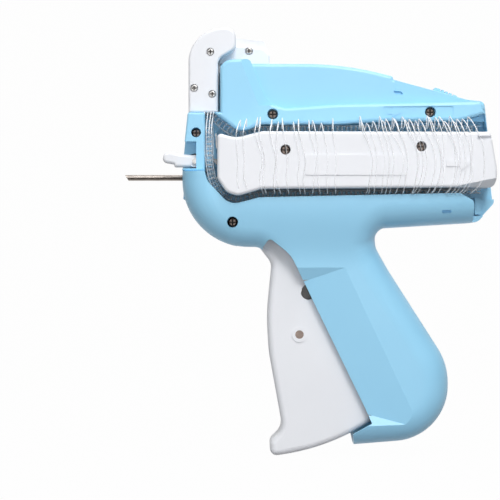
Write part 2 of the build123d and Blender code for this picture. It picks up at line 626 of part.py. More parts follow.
def near_casing():
    """Near half of the casing: lower housing, grip half and the set-back upper deck."""
    shell = lower_shell() & box(-20, 140, -40, PART_Y, -120, 60)
    deck = slab(head_outline(), HEAD_NEAR_Y, PART_Y)
    window = slab(outline(
        (NOSE_X - 3, -40), (HEAD_REAR_X + 6, -40), *upper_track_line(RIM + 0.2),
        (HEAD_FRONT_X - 1.0, NOSE_TOP_Z + 2.4), (HEAD_FRONT_X - 1.0, 60), (NOSE_X - 3, 60)), -40, 40)
    deck = deck - window
    deck = soften(deck, HEAD_NEAR_Y, 1.4, lambda edge: edge.center().Z > 27.5)
    inner = slab(offset(head_outline(), -WALL, kind=Kind.ARC), HEAD_NEAR_Y + WALL, PART_Y)
    deck = deck - (inner - slab(outline(
        (NOSE_X - 3, -40), (HEAD_REAR_X + 6, -40), *upper_track_line(RIM * 2),
        (HEAD_FRONT_X, NOSE_TOP_Z + 5), (NOSE_X - 3, NOSE_TOP_Z + 5)), -40, 40))
    tail_near = -4.0
    tail = slab(head_outline(), tail_near, PART_Y) & box(LOWER_REAR_X - 4, 140, -40, 40, -40,
                                                         TRACK_STEP_Z + 5)
    tail = tail - slab(offset(head_outline(), -WALL, kind=Kind.ARC), tail_near + WALL, SEAT_Y)
    strip_way = [box(LOWER_REAR_X - 6, 140, STRIP_Y - 2.2, SEAT_Y, z - 1.9, z + 1.9)
                 for z in (UPPER_TRACK_Z - 0.6, LOWER_TRACK_REAR_Z - 0.2)]
    tail = tail - strip_way
    tail = tail - box(LOWER_REAR_X - 6, 140, -40, SEAT_Y, BLOCK_BOTTOM_Z - 0.4 - GAP, BLOCK_TOP_Z + GAP)
    post = box(LOWER_REAR_X + 1.2, LOWER_REAR_X + 3.4, BODY_NEAR_Y + 5, tail_near, TAIL_Z + 3, TAIL_Z + 9)
    floor = slab(head_outline(), BODY_NEAR_Y + 5, tail_near) & box(LOWER_REAR_X - 1, 140, -40, 40, -40,
                                                                   TAIL_Z + 2.4)
    nose = slab(outline(
        (NOSE_X, SEAM_Z), (NOSE_BACK_X, SEAM_Z), (NOSE_BACK_X, NOSE_TOP_Z), (NOSE_X + 2.1, NOSE_TOP_Z)),
        0.0, PART_Y)
    nose = nose - pin(LOCK_PIVOT[0], LOCK_PIVOT[1], LOCK_NECK / 2 + 1.6, -1, SEAT_Y)
    back_wall = box(NOSE_BACK_X + 0.1, BLOCK_X0 - GAP / 2, CHANNEL_WALL_Y, SEAT_Y, CHANNEL_WALL_Z,
                    NOSE_TOP_Z - 1)
    back_wall = back_wall + box(NOSE_BACK_X - 1, NOSE_BACK_X + 1, 0.0, SEAT_Y, CHANNEL_WALL_Z, NOSE_TOP_Z - 1)
    core = grip_facets(rounded_core(WALL / 2), WALL / 2)
    pillars = bosses(LOW_CASE_SCREWS + [FRONT_SCREW], BODY_NEAR_Y + WALL / 2, PART_Y) & core
    pillars = pillars + bosses(HIGH_CASE_SCREWS, HEAD_NEAR_Y + WALL / 2, PART_Y)
    cups = pivot_cups(BODY_NEAR_Y + CUP_DEPTH, PART_Y - TRIGGER_HALF - GAP)
    cups = cups & core
    bridge = slab(outline(
        (NOSE_BACK_X - 1, NOSE_TOP_Z - WALL), (HEAD_FRONT_X + WALL, NOSE_TOP_Z - WALL),
        (HEAD_FRONT_X + WALL, NOSE_TOP_Z + 5), (HEAD_FRONT_X, NOSE_TOP_Z + 5), (HEAD_FRONT_X, NOSE_TOP_Z),
        (NOSE_BACK_X - 1, NOSE_TOP_Z)), 0.0, SEAT_Y)
    casing = shell + deck + tail + post + floor + nose + back_wall + bridge
    casing = casing - slab(offset(track_outline(), GAP, kind=Kind.ARC), SEAT_Y, PART_Y + 1)
    casing = casing + pillars + cups
    casing = casing - pivot_holes()
    casing = casing - [pin(x, z, SCREW_R - THREAD_PLAY, BODY_NEAR_Y + WALL, PART_Y + 1) for x,
                       z in LOW_CASE_SCREWS]
    casing = casing - [pin(x, z, SCREW_R - THREAD_PLAY, HEAD_NEAR_Y + WALL, PART_Y + 1) for x,
                       z in HIGH_CASE_SCREWS]
    casing = casing - pin(NOSE_SCREW[0], NOSE_SCREW[1], SCREW_R + FIT, -1, PART_Y + 1)
    casing = casing - pin(FRONT_SCREW[0], FRONT_SCREW[1], SCREW_HEAD_R + HEAD_CLEARANCE, -40,
                          BODY_NEAR_Y + FRONT_SCREW_DEPTH + SCREW_HEAD_T)
    casing = casing - pin(FRONT_SCREW[0], FRONT_SCREW[1], SCREW_R + FIT, -40, 40)
    casing = casing - [pin(x, z, SCREW_R, HEAD_NEAR_Y - 1, PART_Y + 1) for x, z in COVER_SCREWS]
    casing = casing - along_x(0, 0, HUB_NEEDLE_R, NOSE_X - 1, NOSE_BACK_X + 6)
    casing = casing - along_x(0, 0, HUB_NEEDLE_R + 0.6, NOSE_X - 1, SHOULDER_X + 0.3)
    casing = casing - release_way() - cutter_blade() - cover_rim(FIT * 3)
    z = UPPER_TRACK_Z + 12.6
    dimple = slab(outline((78.8, z, 0.3), (81.8, z - 0.2, 0.4), (83.2, z - 1.6, 0.4), (79.8, z - 1.3, 0.3)),
                  HEAD_NEAR_Y - 1, HEAD_NEAR_Y + 1.6)
    dimple = dimple + slab(outline((79.4, z + 0.1), (90.6, z - 4.9), (HEAD_REAR_X, z - 4.9),
                                   (HEAD_REAR_X, z + 8),
                                   (79.4, z + 8)), HEAD_NEAR_Y - 1, HEAD_NEAR_Y + RAMP_RECESS)
    slot = slab(outline((96.6, -13.8, 0.4), (100.0, -13.6, 0.4), (99.8, -12.4, 0.4), (96.4, -12.6, 0.4)),
                BODY_NEAR_Y - BULGE - 1, BODY_NEAR_Y - BULGE / 2 + 0.6)
    return largest(casing - dimple - slot)


def far_casing():
    """Far half of the casing, one shell from the nose to the foot of the grip."""
    shell = lower_shell() & box(-20, 140, PART_Y, 40, -120, 60)
    head = slab(head_outline(), PART_Y, HEAD_FAR_Y)
    head = soften(head, HEAD_FAR_Y, 1.8, lambda edge: edge.center().Z > -5)
    inner = slab(offset(head_outline(), -WALL, kind=Kind.ARC), PART_Y - 1, HEAD_FAR_Y - WALL)
    cavity = grip_facets(rounded_core(WALL), WALL)
    cavity = cavity & box(-20, LOWER_REAR_X - WALL, PART_Y, 40, -120, LOWER_TRACK_Z - WALL - 2)
    casing = shell + (head - cavity) - inner
    casing = casing - slab(offset(track_outline(), GAP, kind=Kind.ARC), PART_Y - 1, TRACK_Y + TRACK_T + 0.1)
    casing = casing - box(TONGUE_X0 - 0.2, TONGUE_X0 + TONGUE_W + 0.2, TRACK_Y + TRACK_T + 0.1,
                          GUIDE_FAR_Y + 0.1,
                          NOSE_TOP_Z - WALL - 1, NOSE_TOP_Z + 1)
    core = grip_facets(rounded_core(WALL / 2), WALL / 2)
    flange = box(GUIDE_X1 - 1.0, HEAD_FRONT_X + 1.0, GUIDE_FAR_Y + GAP, GUIDE_FAR_Y + GAP + WALL,
                 NOSE_TOP_Z - 1,
                 HEAD_TOP_Z - WALL)
    casing = casing + flange
    low = bosses(LOW_CASE_SCREWS + [FRONT_SCREW], PART_Y, BODY_FAR_Y - WALL / 2) & core
    high = bosses(HIGH_CASE_SCREWS + [NOSE_SCREW], PART_Y, HEAD_FAR_Y - WALL / 2)
    casing = casing + low + high
    cups = pivot_cups(PART_Y + TRIGGER_HALF + GAP, BODY_FAR_Y - CUP_DEPTH)
    casing = casing + (cups & core)
    anchor = pin(SPRING_ANCHOR[0], SPRING_ANCHOR[1], 2.4, HEAD_FAR_Y - WALL - 1.0, HEAD_FAR_Y - WALL / 2)
    casing = casing + anchor - pin(SPRING_ANCHOR[0], SPRING_ANCHOR[1], 1.0, 0, HEAD_FAR_Y - 1.4)
    casing = casing - pivot_holes()
    for x, z in CASE_SCREWS:
        face = BODY_FAR_Y if z < LOWER_TRACK_Z else HEAD_FAR_Y
        casing = casing - pin(x, z, SCREW_R + FIT, PART_Y - 1, face + 1)
        casing = casing - pin(x, z, SCREW_HEAD_R + HEAD_CLEARANCE, face - 2.6, face + 1)
    for x, z in (FRONT_SCREW, NOSE_SCREW):
        casing = casing - pin(x, z, SCREW_R - THREAD_PLAY, PART_Y - 1, PART_Y + 8)
    casing = casing - release_way()
    return largest(casing)


def largest(shape):
    """The one solid of a shape, without loose slivers."""
    return max(shape.solids(), key=lambda solid: solid.volume)


def on_ramp(x, lift=0.0):
    """Point over the feed ramp at x, lifted square to it."""
    start = (DECK_STEP_X + 0.5, RAMP_START_Z)
    slope = math.radians(RAMP_ANGLE)
    z = start[1] - (x - start[0]) * math.tan(slope)
    return (x + lift * math.sin(slope), z + lift * math.cos(slope))


def ramp_strip(x0, x1, low, high, near, far, radius=0.0):
    """Bar that lies along the feed ramp between two heights over it."""
    corners = [on_ramp(x0, low), on_ramp(x1, low), on_ramp(x1, high), on_ramp(x0, high)]
    if radius:
        corners = [corner + ((radius,) if i > 1 else ()) for i, corner in enumerate(corners)]
    return slab(outline(*corners), near, far)


def release_way():
    """Slot in the feed ramp for the stem of the release slider."""
    return ramp_strip(SLIDER_X0 - SLIDER_TRAVEL + 1.6, SLIDER_X0 + SLIDER_LEN - 1.8, -WALL - 2, 2,
                      PART_Y - 2.2, PART_Y + 2.2)


# ---------------------------------------------------------------- covers and head pieces
def cover_rim(play=0.0):
    """Wall of the cover that reaches in over the upper track. `play` grows it."""
    low = upper_track_line(-play)
    high = [(p[0], p[1] + RIM + 2 * play, 0) for p in low]
    reach = box(GUIDE_X1 + GAP - play, HEAD_REAR_X - 6 + play, HEAD_NEAR_Y - 1, SEAT_Y + play, 0, 40)
    rim = slab(outline(*low, *reversed(high)), HEAD_NEAR_Y - 1, SEAT_Y + play) & reach
    return rim - box(12.0, HEAD_FRONT_X + WALL + GAP, -GAP + play, SEAT_Y + 1, 0, 40)


def cover_bevel():
    """Wide slanted edge where the cover's raised front slopes down to its low rear."""
    high = (25.0, HEAD_TOP_Z + 1.5)
    low = (31.6, UPPER_TRACK_Z + 7.8)
    lean = math.degrees(math.atan2(low[0] - high[0], high[1] - low[1]))
    slope = math.degrees(math.atan2(BEVEL_DEPTH, BEVEL_W))
    block = Pos(20, -20, 0) * Box(40, 40, 40)
    block = Rot(0, -lean, 0) * (Rot(0, 0, slope) * (Pos(0, 0, 0) * block))
    inner = Pos(-BEVEL_W * math.cos(math.radians(lean)), 0, -BEVEL_W * math.sin(math.radians(lean)))
    region = box(high[0] - BEVEL_W, low[0] + 8.0, BODY_NEAR_Y - 1, HEAD_NEAR_Y, low[1] - 1.0, high[1] + 3.0)
    return (inner * (Pos(high[0], BODY_NEAR_Y, high[1]) * block)) & region


def upper_track_cover():
    """Thick cover over the upper track, held by two screws."""
    plate = slab(cover_outline(), BODY_NEAR_Y, HEAD_NEAR_Y)
    plate = soften(plate, BODY_NEAR_Y, COVER_EDGE)
    bevel = cover_bevel()
    rim = cover_rim()
    z = UPPER_TRACK_Z + 4.2
    panel = slab(outline((75.0, z + 2.2, 0.5), (101.0, z + 2.4, 0.5), (101.0, z - 1.6, 0.5),
                         (75.0, z - 1.8, 0.5)),
                 BODY_NEAR_Y - 1, BODY_NEAR_Y + 0.4)
    arrow = slab(outline((82.0, z), (78.4, z + 1.6), (78.4, z + 0.6), (76.6, z + 0.6), (76.6, z - 0.6),
                         (78.4, z - 0.6), (78.4, z - 1.6)), BODY_NEAR_Y + 0.1, BODY_NEAR_Y + 1)
    cover = plate + rim - bevel - panel + arrow
    for x, z in COVER_SCREWS:
        seat = BODY_NEAR_Y + COVER_SCREW_DEPTH + SCREW_HEAD_T
        cover = cover - pin(x, z, SCREW_HEAD_R + HEAD_CLEARANCE, BODY_NEAR_Y - 1, seat)
        cover = cover - pin(x, z, SCREW_R + FIT, BODY_NEAR_Y - 1, HEAD_NEAR_Y + 4)
    return largest(cover)


def nose_block():
    """Front block over the needle, with the recess of the lock lever."""
    near = BODY_NEAR_Y + 0.6
    block = slab(outline(
        (NOSE_X, SEAM_Z + 0.1, 0.4), (NOSE_BACK_X, SEAM_Z + 0.1, 0.3), (NOSE_BACK_X, NOSE_TOP_Z, 0.4),
        (NOSE_X + 2.1, NOSE_TOP_Z, 0.8), (NOSE_X + 0.6, 10.0, 30.0)), near, -0.1)
    block = soften(block, near, 0.8)
    recess = box(NOSE_X - 3, NOSE_BACK_X - 3.2, LOCK_NEAR_Y - 0.6, LOCK_NEAR_Y + LOCK_T + 0.6, SEAM_Z - 1,
                 13.2)
    barrel = pin(LOCK_PIVOT[0], LOCK_PIVOT[1], LOCK_NECK / 2 + 0.9, LOCK_NEAR_Y - 0.6, 1)
    notch = box(NOSE_X - 3, NOSE_BACK_X - 3.2, near - 1, LOCK_NEAR_Y, SEAM_Z + 1.0, 13.2)
    block = block - recess - barrel - notch
    block = block - pin(LOCK_PIVOT[0], LOCK_PIVOT[1], 1.0, near + 0.8, 1)
    block = block - pin(NOSE_SCREW[0], NOSE_SCREW[1], SCREW_HEAD_R + 0.1, near - 1, near + 6.5)
    block = block - pin(NOSE_SCREW[0], NOSE_SCREW[1], SCREW_R + FIT, near - 1, 1)
    block = block - along_x(0, 0, HUB_NEEDLE_R + 0.4, NOSE_X - 1, NOSE_BACK_X + 1)
    return largest(block)


def side_block():
    """Hollow block over which the filaments lie, between the two tracks."""
    face = block_outline()
    body = slab(face, BLOCK_FACE_Y, SEAT_Y)
    corner = Vector(BLOCK_X1 - 18.0, BLOCK_FACE_Y, BLOCK_BOTTOM_Z)
    rise = Vector(18.0, 0, 3.7)
    depth = Vector(18.0, 9.0, 0)
    normal = rise.cross(depth)
    body = soften(body, BLOCK_FACE_Y, BLOCK_EDGE)
    body = largest(split(body, bisect_by=Plane(origin=corner, z_dir=normal), keep=Keep.TOP))
    inner = slab(offset(face, -BLOCK_WALL, kind=Kind.ARC), BLOCK_FACE_Y + BLOCK_WALL, SEAT_Y + 1)
    guard = box(BLOCK_X1 - 19.0, BLOCK_X1 + 5, BLOCK_FACE_Y - 1, BLOCK_FACE_Y + 9.5, BLOCK_BOTTOM_Z - 2, 1.4)
    body = body - (inner - guard)
    body = body + bosses(BLOCK_SCREWS, BLOCK_FACE_Y + 1, SEAT_Y, BLOCK_BOSS_R)
    body = body + pin(ROCKER_PIVOT[0], ROCKER_PIVOT[1], 2.6, BLOCK_FACE_Y + 1, ROCKER_Y - GAP)
    body = body - pin(ROCKER_PIVOT[0], ROCKER_PIVOT[1], PIN_R - 0.4, BLOCK_FACE_Y + WALL + 4, ROCKER_Y)
    for x, z in BLOCK_SCREWS:
        body = body - pin(x, z, SCREW_HEAD_R + 0.15, BLOCK_FACE_Y - 1, BLOCK_FACE_Y + 5)
        body = body - pin(x, z, SCREW_R + FIT, BLOCK_FACE_Y - 1, SEAT_Y + 1)
    panel = box(45.4, 83.0, BLOCK_FACE_Y - EMBOSS, BLOCK_FACE_Y + 0.5, 0.3, 7.8)
    panel = fillet(panel.edges().filter_by(Axis.Y), 0.8)
    arrow = slab(outline((106.6, 4.6), (102.4, 7.6), (102.4, 5.7), (97.6, 5.7), (97.6, 3.5), (102.4, 3.5),
                         (102.4, 1.6)),
                 BLOCK_FACE_Y - EMBOSS, BLOCK_FACE_Y + 0.5)
    rod_hole = along_x(0, 0, ROD_HALF * math.sqrt(2) + GAP / 2, BLOCK_X0 - 2, BLOCK_X0 + 5)
    window = box(BLOCK_X0 - 2, BLOCK_X0 + 5, ROCKER_Y - GAP, STRIP_Y + 1.6, ROCKER_PIVOT[1] - 4.6,
                 ROCKER_PIVOT[1] + 5.6)
    lip = box(BLOCK_X1 - 7.2, BLOCK_X1 + 3, BLOCK_FACE_Y - 1, BLOCK_FACE_Y + 1.3, BLOCK_TOP_Z - 3.2,
              BLOCK_TOP_Z - 1.8)
    return largest(body + panel + arrow - rod_hole - window - lip)


def track_outline():
    """Side view of the track plate."""
    front = NOSE_BACK_X + 0.5
    head_front = HEAD_FRONT_X + WALL + 0.4
    top = HEAD_TOP_Z - WALL - 1.8
    return outline(
        (front, -3.0, 2.0), (17.0, -11.4, 3.0), (LOWER_REAR_X - 5, LOWER_TRACK_Z - 0.6, 2.0),
        (LOWER_REAR_X - 2.6, UPPER_TRACK_Z + 2.2, 2.0), (84.0, RAMP_END_Z + 0.8, 4.0), (72.0, top - 0.6, 6.0),
        (head_front, top, 2.0), (head_front, UPPER_TRACK_Z + 2.2), (front, UPPER_TRACK_Z + 1.7, 2.0))


def track_plate():
    """Moulded plate behind the strips, with a long slot for the rod's bracket."""
    far = TRACK_Y + TRACK_T
    plate = slab(track_outline(), TRACK_Y, far)
    slot_x0 = bracket_x() - STROKE - BRACKET_W / 2 - 1.5
    slot_x1 = bracket_x() + BRACKET_W / 2 + 1.5
    half = BRACKET_HALF + GAP + 0.4
    plate = plate - box(slot_x0, slot_x1, TRACK_Y - 1, far + 1, -half, half)
    holes = [pin(x, z, SCREW_R, TRACK_Y - 1, far + 1) for x, z in BLOCK_SCREWS]
    clear = [pin(x, z, BOSS_R + GAP, TRACK_Y - 1, far + 1) for x, z in CASE_SCREWS + [FRONT_SCREW]]
    tips = [pin(x, z, SCREW_R + GAP, TRACK_Y - 1, far + 1) for x, z in COVER_SCREWS]
    return largest(plate - holes - clear - tips)


def strip_guide_cover():
    """Near half of the white strip guide."""
    body = slab(guide_outline(), GUIDE_NEAR_Y, GUIDE_SPLIT_Y)
    body = soften(body, GUIDE_NEAR_Y, 1.0)
    channel = slab(guide_outline(GUIDE_WALL), GUIDE_NEAR_Y + GUIDE_WALL, GUIDE_SPLIT_Y + 1)
    mouth = box(GUIDE_X0 + GUIDE_WALL, GUIDE_X1 - GUIDE_WALL, GUIDE_NEAR_Y + GUIDE_WALL, GUIDE_SPLIT_Y + 1,
                20, 30)
    body = body - channel - mouth
    body = body + [pin(x, z, GUIDE_BOSS_R, GUIDE_NEAR_Y + 1, GUIDE_SPLIT_Y) for x, z in GUIDE_SCREWS]
    body = body & slab(guide_outline(), GUIDE_NEAR_Y - 1, GUIDE_SPLIT_Y)
    for x, z in GUIDE_SCREWS:
        body = body - pin(x, z, SMALL_HEAD_R + 0.15, GUIDE_NEAR_Y - 1, GUIDE_NEAR_Y + SMALL_HEAD_T)
        body = body - pin(x, z, SMALL_SCREW_R + FIT, GUIDE_NEAR_Y - 1, GUIDE_SPLIT_Y + 1)
    return largest(body)


def strip_guide_back():
    """Far half of the strip guide, with the arm over the head."""
    back = slab(guide_outline(), GUIDE_SPLIT_Y, GUIDE_SPLIT_Y + 2.0)
    step = slab(arm_outline(ARM_TOP_Z - 3.0), GUIDE_SPLIT_Y, GUIDE_SPLIT_Y + 3.0)
    step = soften(step, GUIDE_SPLIT_Y, 0.6, lambda edge: edge.center().X > GUIDE_X1 + 3)
    arm = slab(arm_outline(ARM_TOP_Z), GUIDE_SPLIT_Y + 2.0, GUIDE_FAR_Y)
    arm = soften(arm, GUIDE_FAR_Y, 1.0, lambda edge: edge.center().Z > HEAD_TOP_Z + 1)
    tongue = box(TONGUE_X0, TONGUE_X0 + TONGUE_W, TRACK_Y + TRACK_T + 0.2, GUIDE_FAR_Y, TONGUE_LOW_Z,
                 NOSE_TOP_Z + 2)
    body = back + step + arm + tongue
    body = body - [pin(x, z, SMALL_SCREW_R, GUIDE_SPLIT_Y - 1, GUIDE_SPLIT_Y + 5.0) for x, z in GUIDE_SCREWS]
    body = body - pin(ARM_SCREW[0], ARM_SCREW[1], SMALL_HEAD_R + 0.15, GUIDE_SPLIT_Y - 1,
                      GUIDE_SPLIT_Y + SMALL_HEAD_T)
    body = body - pin(ARM_SCREW[0], ARM_SCREW[1], SMALL_SCREW_R, GUIDE_SPLIT_Y - 1, GUIDE_SPLIT_Y + 5.0)
    return largest(body)


# ---------------------------------------------------------------- needle and lock
def needle():
    """Hollow slotted needle with an oblique tip."""
    tip = NOSE_X - NEEDLE_OUT + 0.3
    tube = along_x(0, 0, NEEDLE_R, tip, NEEDLE_BACK_X) + along_x(0, 0, NEEDLE_SEAT_R, SHOULDER_X,
                                                                 NEEDLE_BACK_X)
    tube = tube - along_x(0, 0, NEEDLE_BORE_R, tip - 1, NEEDLE_BACK_X + 1)
    slot = box(tip - 1, NEEDLE_BACK_X + 1, -NEEDLE_R - 1, -NEEDLE_BORE_R / 2, -NEEDLE_SLOT_W / 2,
               NEEDLE_SLOT_W / 2)
    slot = Rot(20, 0, 0) * slot
    bevel = slab(outline((tip - 1, -NEEDLE_R - 1), (tip + 2.4, -NEEDLE_R - 1), (tip - 0.2, NEEDLE_R + 1),
                         (tip - 1, NEEDLE_R + 1)), -3, 3)
    return largest(tube - slot - bevel)


def needle_hub():
    """Brass hub that seats the needle in the nose."""
    back = NEEDLE_BACK_X - 0.2
    hub = along_x(0, 0, HUB_NEEDLE_R, SHOULDER_X, back)
    hub = hub - along_x(0, 0, NEEDLE_SEAT_R, SHOULDER_X - 1, back + 1)
    half = NEEDLE_SLOT_W / 2 + 0.1
    slot = box(SHOULDER_X - 1, back + 1, -HUB_NEEDLE_R - 1, -NEEDLE_BORE_R, -half, half)
    return largest(hub - Rot(20, 0, 0) * slot)


def cutter_blade():
    """Small blade below the needle's slot that parts a fastener from its runner."""
    return slab(outline((NOSE_BACK_X + 0.15, -2.4), (NOSE_BACK_X + 0.9, -1.2), (NOSE_BACK_X + 0.9, -6.0),
                        (NOSE_BACK_X + 0.15, -6.0)), -8.0, -2.0)


def needle_lock_lever():
    """White lever at the nose that lets the needle go."""
    x, z = LOCK_PIVOT
    far = LOCK_NEAR_Y + LOCK_T
    tip = x - LOCK_REACH
    half = LOCK_NECK / 2
    arm = slab(outline(
        (x, z - half), (x, z + half), (x - 6.0, z + half + 0.5, 4.0), (x - 9.0, z + half + 1.4, 2.4),
        (tip, z + half + 0.7, 1.8), (tip - 0.3, z - half + 1.8, 1.6), (x - 8.0, z - half + 1.1, 0.4),
        (x - 7.6, z - half, 0.4)), LOCK_NEAR_Y, far)
    arm = soften(arm, LOCK_NEAR_Y, LOCK_ROUND, lambda edge: edge.center().X < x - 1)
    arm = soften(arm, far, LOCK_ROUND, lambda edge: edge.center().X < x - 1)
    hub = pin(x, z, half, LOCK_NEAR_Y, -0.6)
    cam = pin(x, z, half + 0.6, -2.2, -0.6)
    return largest(arm + hub + cam - pin(x, z, 1.0 + FIT, LOCK_NEAR_Y - 1, 1))


# ---------------------------------------------------------------- trigger and drive
def trigger():
    """Long hollow trigger, open at the back, on a pin under the head."""
    px, pz = TRIGGER_PIVOT
    near = PART_Y - TRIGGER_HALF
    far = PART_Y + TRIGGER_HALF
    body = slab(trigger_outline(), near, far)

    def finger(edge):
        middle = edge.center()
        return middle.Z < BELLY_Z and (middle.X < 38.0 or middle.Z < -97.5)
    body = soften(body, near, TRIGGER_EDGE, finger)
    body = soften(body, far, TRIGGER_EDGE, finger)
    inner = trigger_outline(TRIGGER_WALL, hollow=True)
    body = body - slab(inner, near + TRIGGER_WALL, far - TRIGGER_WALL)
    body = body + pin(px, pz, PIN_R + 2.1, near, far)
    body = body - pin(px, pz, PIN_R + FIT, near - 1, far + 1)
    reach = math.hypot(LEVER_PIVOT[0] - px, LEVER_PIVOT[1] - pz)
    start = math.degrees(math.atan2(LEVER_PIVOT[1] - pz, LEVER_PIVOT[0] - px))
    groove = Pos(px, pz) * SlotArc(CenterArc((0, 0), reach, start - TRIGGER_SWEEP, TRIGGER_SWEEP + 6),
                                   NOTCH_R * 2)
    body = body - slab(groove, near - 1, far + 1)
    body = body + pin(LINK_POINT[0], LINK_POINT[1], LINK_R + LINK_RING, near - LINK_RING_T,
                      near + TRIGGER_WALL)
    body = body - pin(LINK_POINT[0], LINK_POINT[1], LINK_R, near - 1, far + 1)
    return largest(body)


def drive_lever():
    """Steel lever that turns the squeeze into the rod's stroke."""
    bx, bz = LEVER_PIVOT
    top = lever_top()
    far = LEVER_Y + LEVER_T
    start, middle, end = link_path()
    slot_arc = ThreePointArc(start, middle, end)
    lower = SlotArc(slot_arc, LINK_R * 2 + ARM_W)
    neck = outline((bx - 4.2, bz), (bx + 4.2, bz), (end[0] + 5.0, end[1] + 2.0),
                   (end[0] - 4.0, end[1] - 1.0), (bx - 7.4, bz - 5.0))
    reach = math.hypot(top[0] - bx, top[1] - bz)
    lean = math.degrees(math.atan2(top[0] - bx, top[1] - bz))
    arm = Pos(bx, bz) * Rot(0, 0, -lean) * outline(
        (-ARM_W / 2 - 0.6, 0), (ARM_W / 2 + 0.6, 0), (ARM_W / 2 - 0.8, reach), (-ARM_W / 2 + 0.8, reach))
    plate = slab(lower, LEVER_Y, far) + slab(neck, LEVER_Y, far) + slab(arm, LEVER_Y, far)
    plate = plate + pin(bx, bz, HUB_R, LEVER_Y - 1.4, far + 0.8)
    plate = plate + pin(top[0], top[1], ARM_W / 2 - 0.8, LEVER_Y, far)
    holes = [turned((bx, bz + reach * share), (bx, bz), -lean) for share in (0.3, 0.5, 0.7)]
    plate = plate - [pin(x, z, 1.6, LEVER_Y - 1, far + 1) for x, z in holes]
    plate = plate - slab(SlotArc(slot_arc, (LINK_R + GAP) * 2), LEVER_Y - 1, far + 1)
    plate = plate - pin(bx, bz, PIN_R + FIT, LEVER_Y - 3, far + 3)
    return largest(plate - pin(top[0], top[1], TOP_PIN_R, LEVER_Y - 1, far + 1))


def slide_block():
    """Upright slide that the lever's top pin carries along the head."""
    x = lever_top()[0]
    top = lever_top()[1]
    crest = lever_top(LEVER_SWEEP / 2)[1]
    slide = slab(outline(
        (x - SLIDE_W / 2, -3.8, 1.0), (x + SLIDE_W / 2, -3.8, 1.0),
        (x + SLIDE_W / 2, RAIL_Z - GAP, 1.0), (x - SLIDE_W / 2, RAIL_Z - GAP, 1.0)), SLIDE_Y,
        SLIDE_Y + SLIDE_T)
    half = TOP_PIN_R + GAP
    slot = slab(outline((x - half, top - half - 0.4, half * 0.9), (x + half, top - half - 0.4, half * 0.9),
                        (x + half, crest + half + 0.2, half * 0.9),
                        (x - half, crest + half + 0.2, half * 0.9)),
                SLIDE_Y - 1, SLIDE_Y + SLIDE_T + 1)
    window = slab(outline((x - 2.2, 8.0, 1.0), (x + 2.2, 8.0, 1.0), (x + 2.2, 22.0, 1.0),
                          (x - 2.2, 22.0, 1.0)),
                  SLIDE_Y - 1, SLIDE_Y + SLIDE_T + 1)
    return largest(slide - slot - window)


def bracket_x():
    """Middle of the bracket at rest: it stands in the middle of the slide."""
    return lever_top()[0]


def rod_bar(x0, x1):
    """Square bar on the needle's axis."""
    return box(x0, x1, -ROD_HALF, ROD_HALF, -ROD_HALF, ROD_HALF)


def rod_bracket():
    """Block that joins the slide to the push rod through the track plate."""
    x = bracket_x()
    half = BRACKET_W / 2
    block = box(x - half, x + half, -ROD_HALF - 1.2, SLIDE_Y, -BRACKET_HALF, BRACKET_HALF)
    return largest(block - rod_bar(x - half - 1, x + half + 1))


def feed_cam():
    """Plate on the bracket whose slanted slot rocks the feed."""
    x0 = ROCKER_PIVOT[0] + FOLLOWER_ARM
    z0 = ROCKER_PIVOT[1]
    rise = 2 * FOLLOWER_ARM * math.sin(math.radians(ROCKER_SWEEP / 2))
    low = (x0, z0)
    high = (x0 + STROKE, z0 + rise)
    plate = slab(outline((x0 - 2.6, z0 - 2.6, 1.0), (x0 + STROKE + 2.4, z0 - 2.6, 1.0),
                         (x0 + STROKE + 2.4, z0 + rise + 1.0, 0.6), (x0 - 2.6, z0 + 2.4, 1.0)), CAM_Y,
                         CAM_Y + CAM_T)
    half = BRACKET_W / 2
    stem = box(bracket_x() - half, bracket_x() + half, CAM_Y, -ROD_HALF - 1.2, -BRACKET_HALF, z0 - 1.6)
    cut = slab(slot_between(low, high, (FOLLOWER_R + CAM_CLEARANCE) * 2), CAM_Y - 1, CAM_Y + CAM_T + 0.1)
    return largest(plate + stem - cut)


def slot_between(first, second, width):
    """Round-ended slot face between two points of the side view."""
    middle = ((first[0] + second[0]) / 2, (first[1] + second[1]) / 2)
    length = math.hypot(second[0] - first[0], second[1] - first[1])
    angle = math.degrees(math.atan2(second[1] - first[1], second[0] - first[0]))
    return Pos(*middle) * Rot(0, 0, angle) * SlotCenterToCenter(length, width)


def push_rod():
    """Stepped rod that pushes a fastener's bar through the needle."""
    rear = bracket_x() + BRACKET_W / 2 + 2.0
    wire = along_x(0, 0, ROD_WIRE_R, ROD_TIP_X, ROD_STEP_X)
    return largest(wire + rod_bar(ROD_STEP_X, rear))


def slide_rails():
    """Two rails on the track plate that guide the slide."""
    near = TRACK_Y + TRACK_T
    far = SLIDE_Y + SLIDE_T + 0.1
    x0 = lever_top(LEVER_SWEEP)[0] - SLIDE_W / 2 - 6.0
    upper = box(x0, 71.5, near, far, RAIL_Z, RAIL_Z + RAIL_T)
    lower = box(x0, 78.0, near, far, -4.1 - RAIL_T, -4.1)
    return Compound(children=[largest(upper), largest(lower)])


def slide_buffer():
    """Rubber stop at the front end of the slide's travel."""
    x1 = lever_top(LEVER_SWEEP)[0] - SLIDE_W / 2 - GAP
    return largest(box(x1 - 2.6, x1, TRACK_Y + TRACK_T, SLIDE_Y + SLIDE_T, 2.0, 12.0))


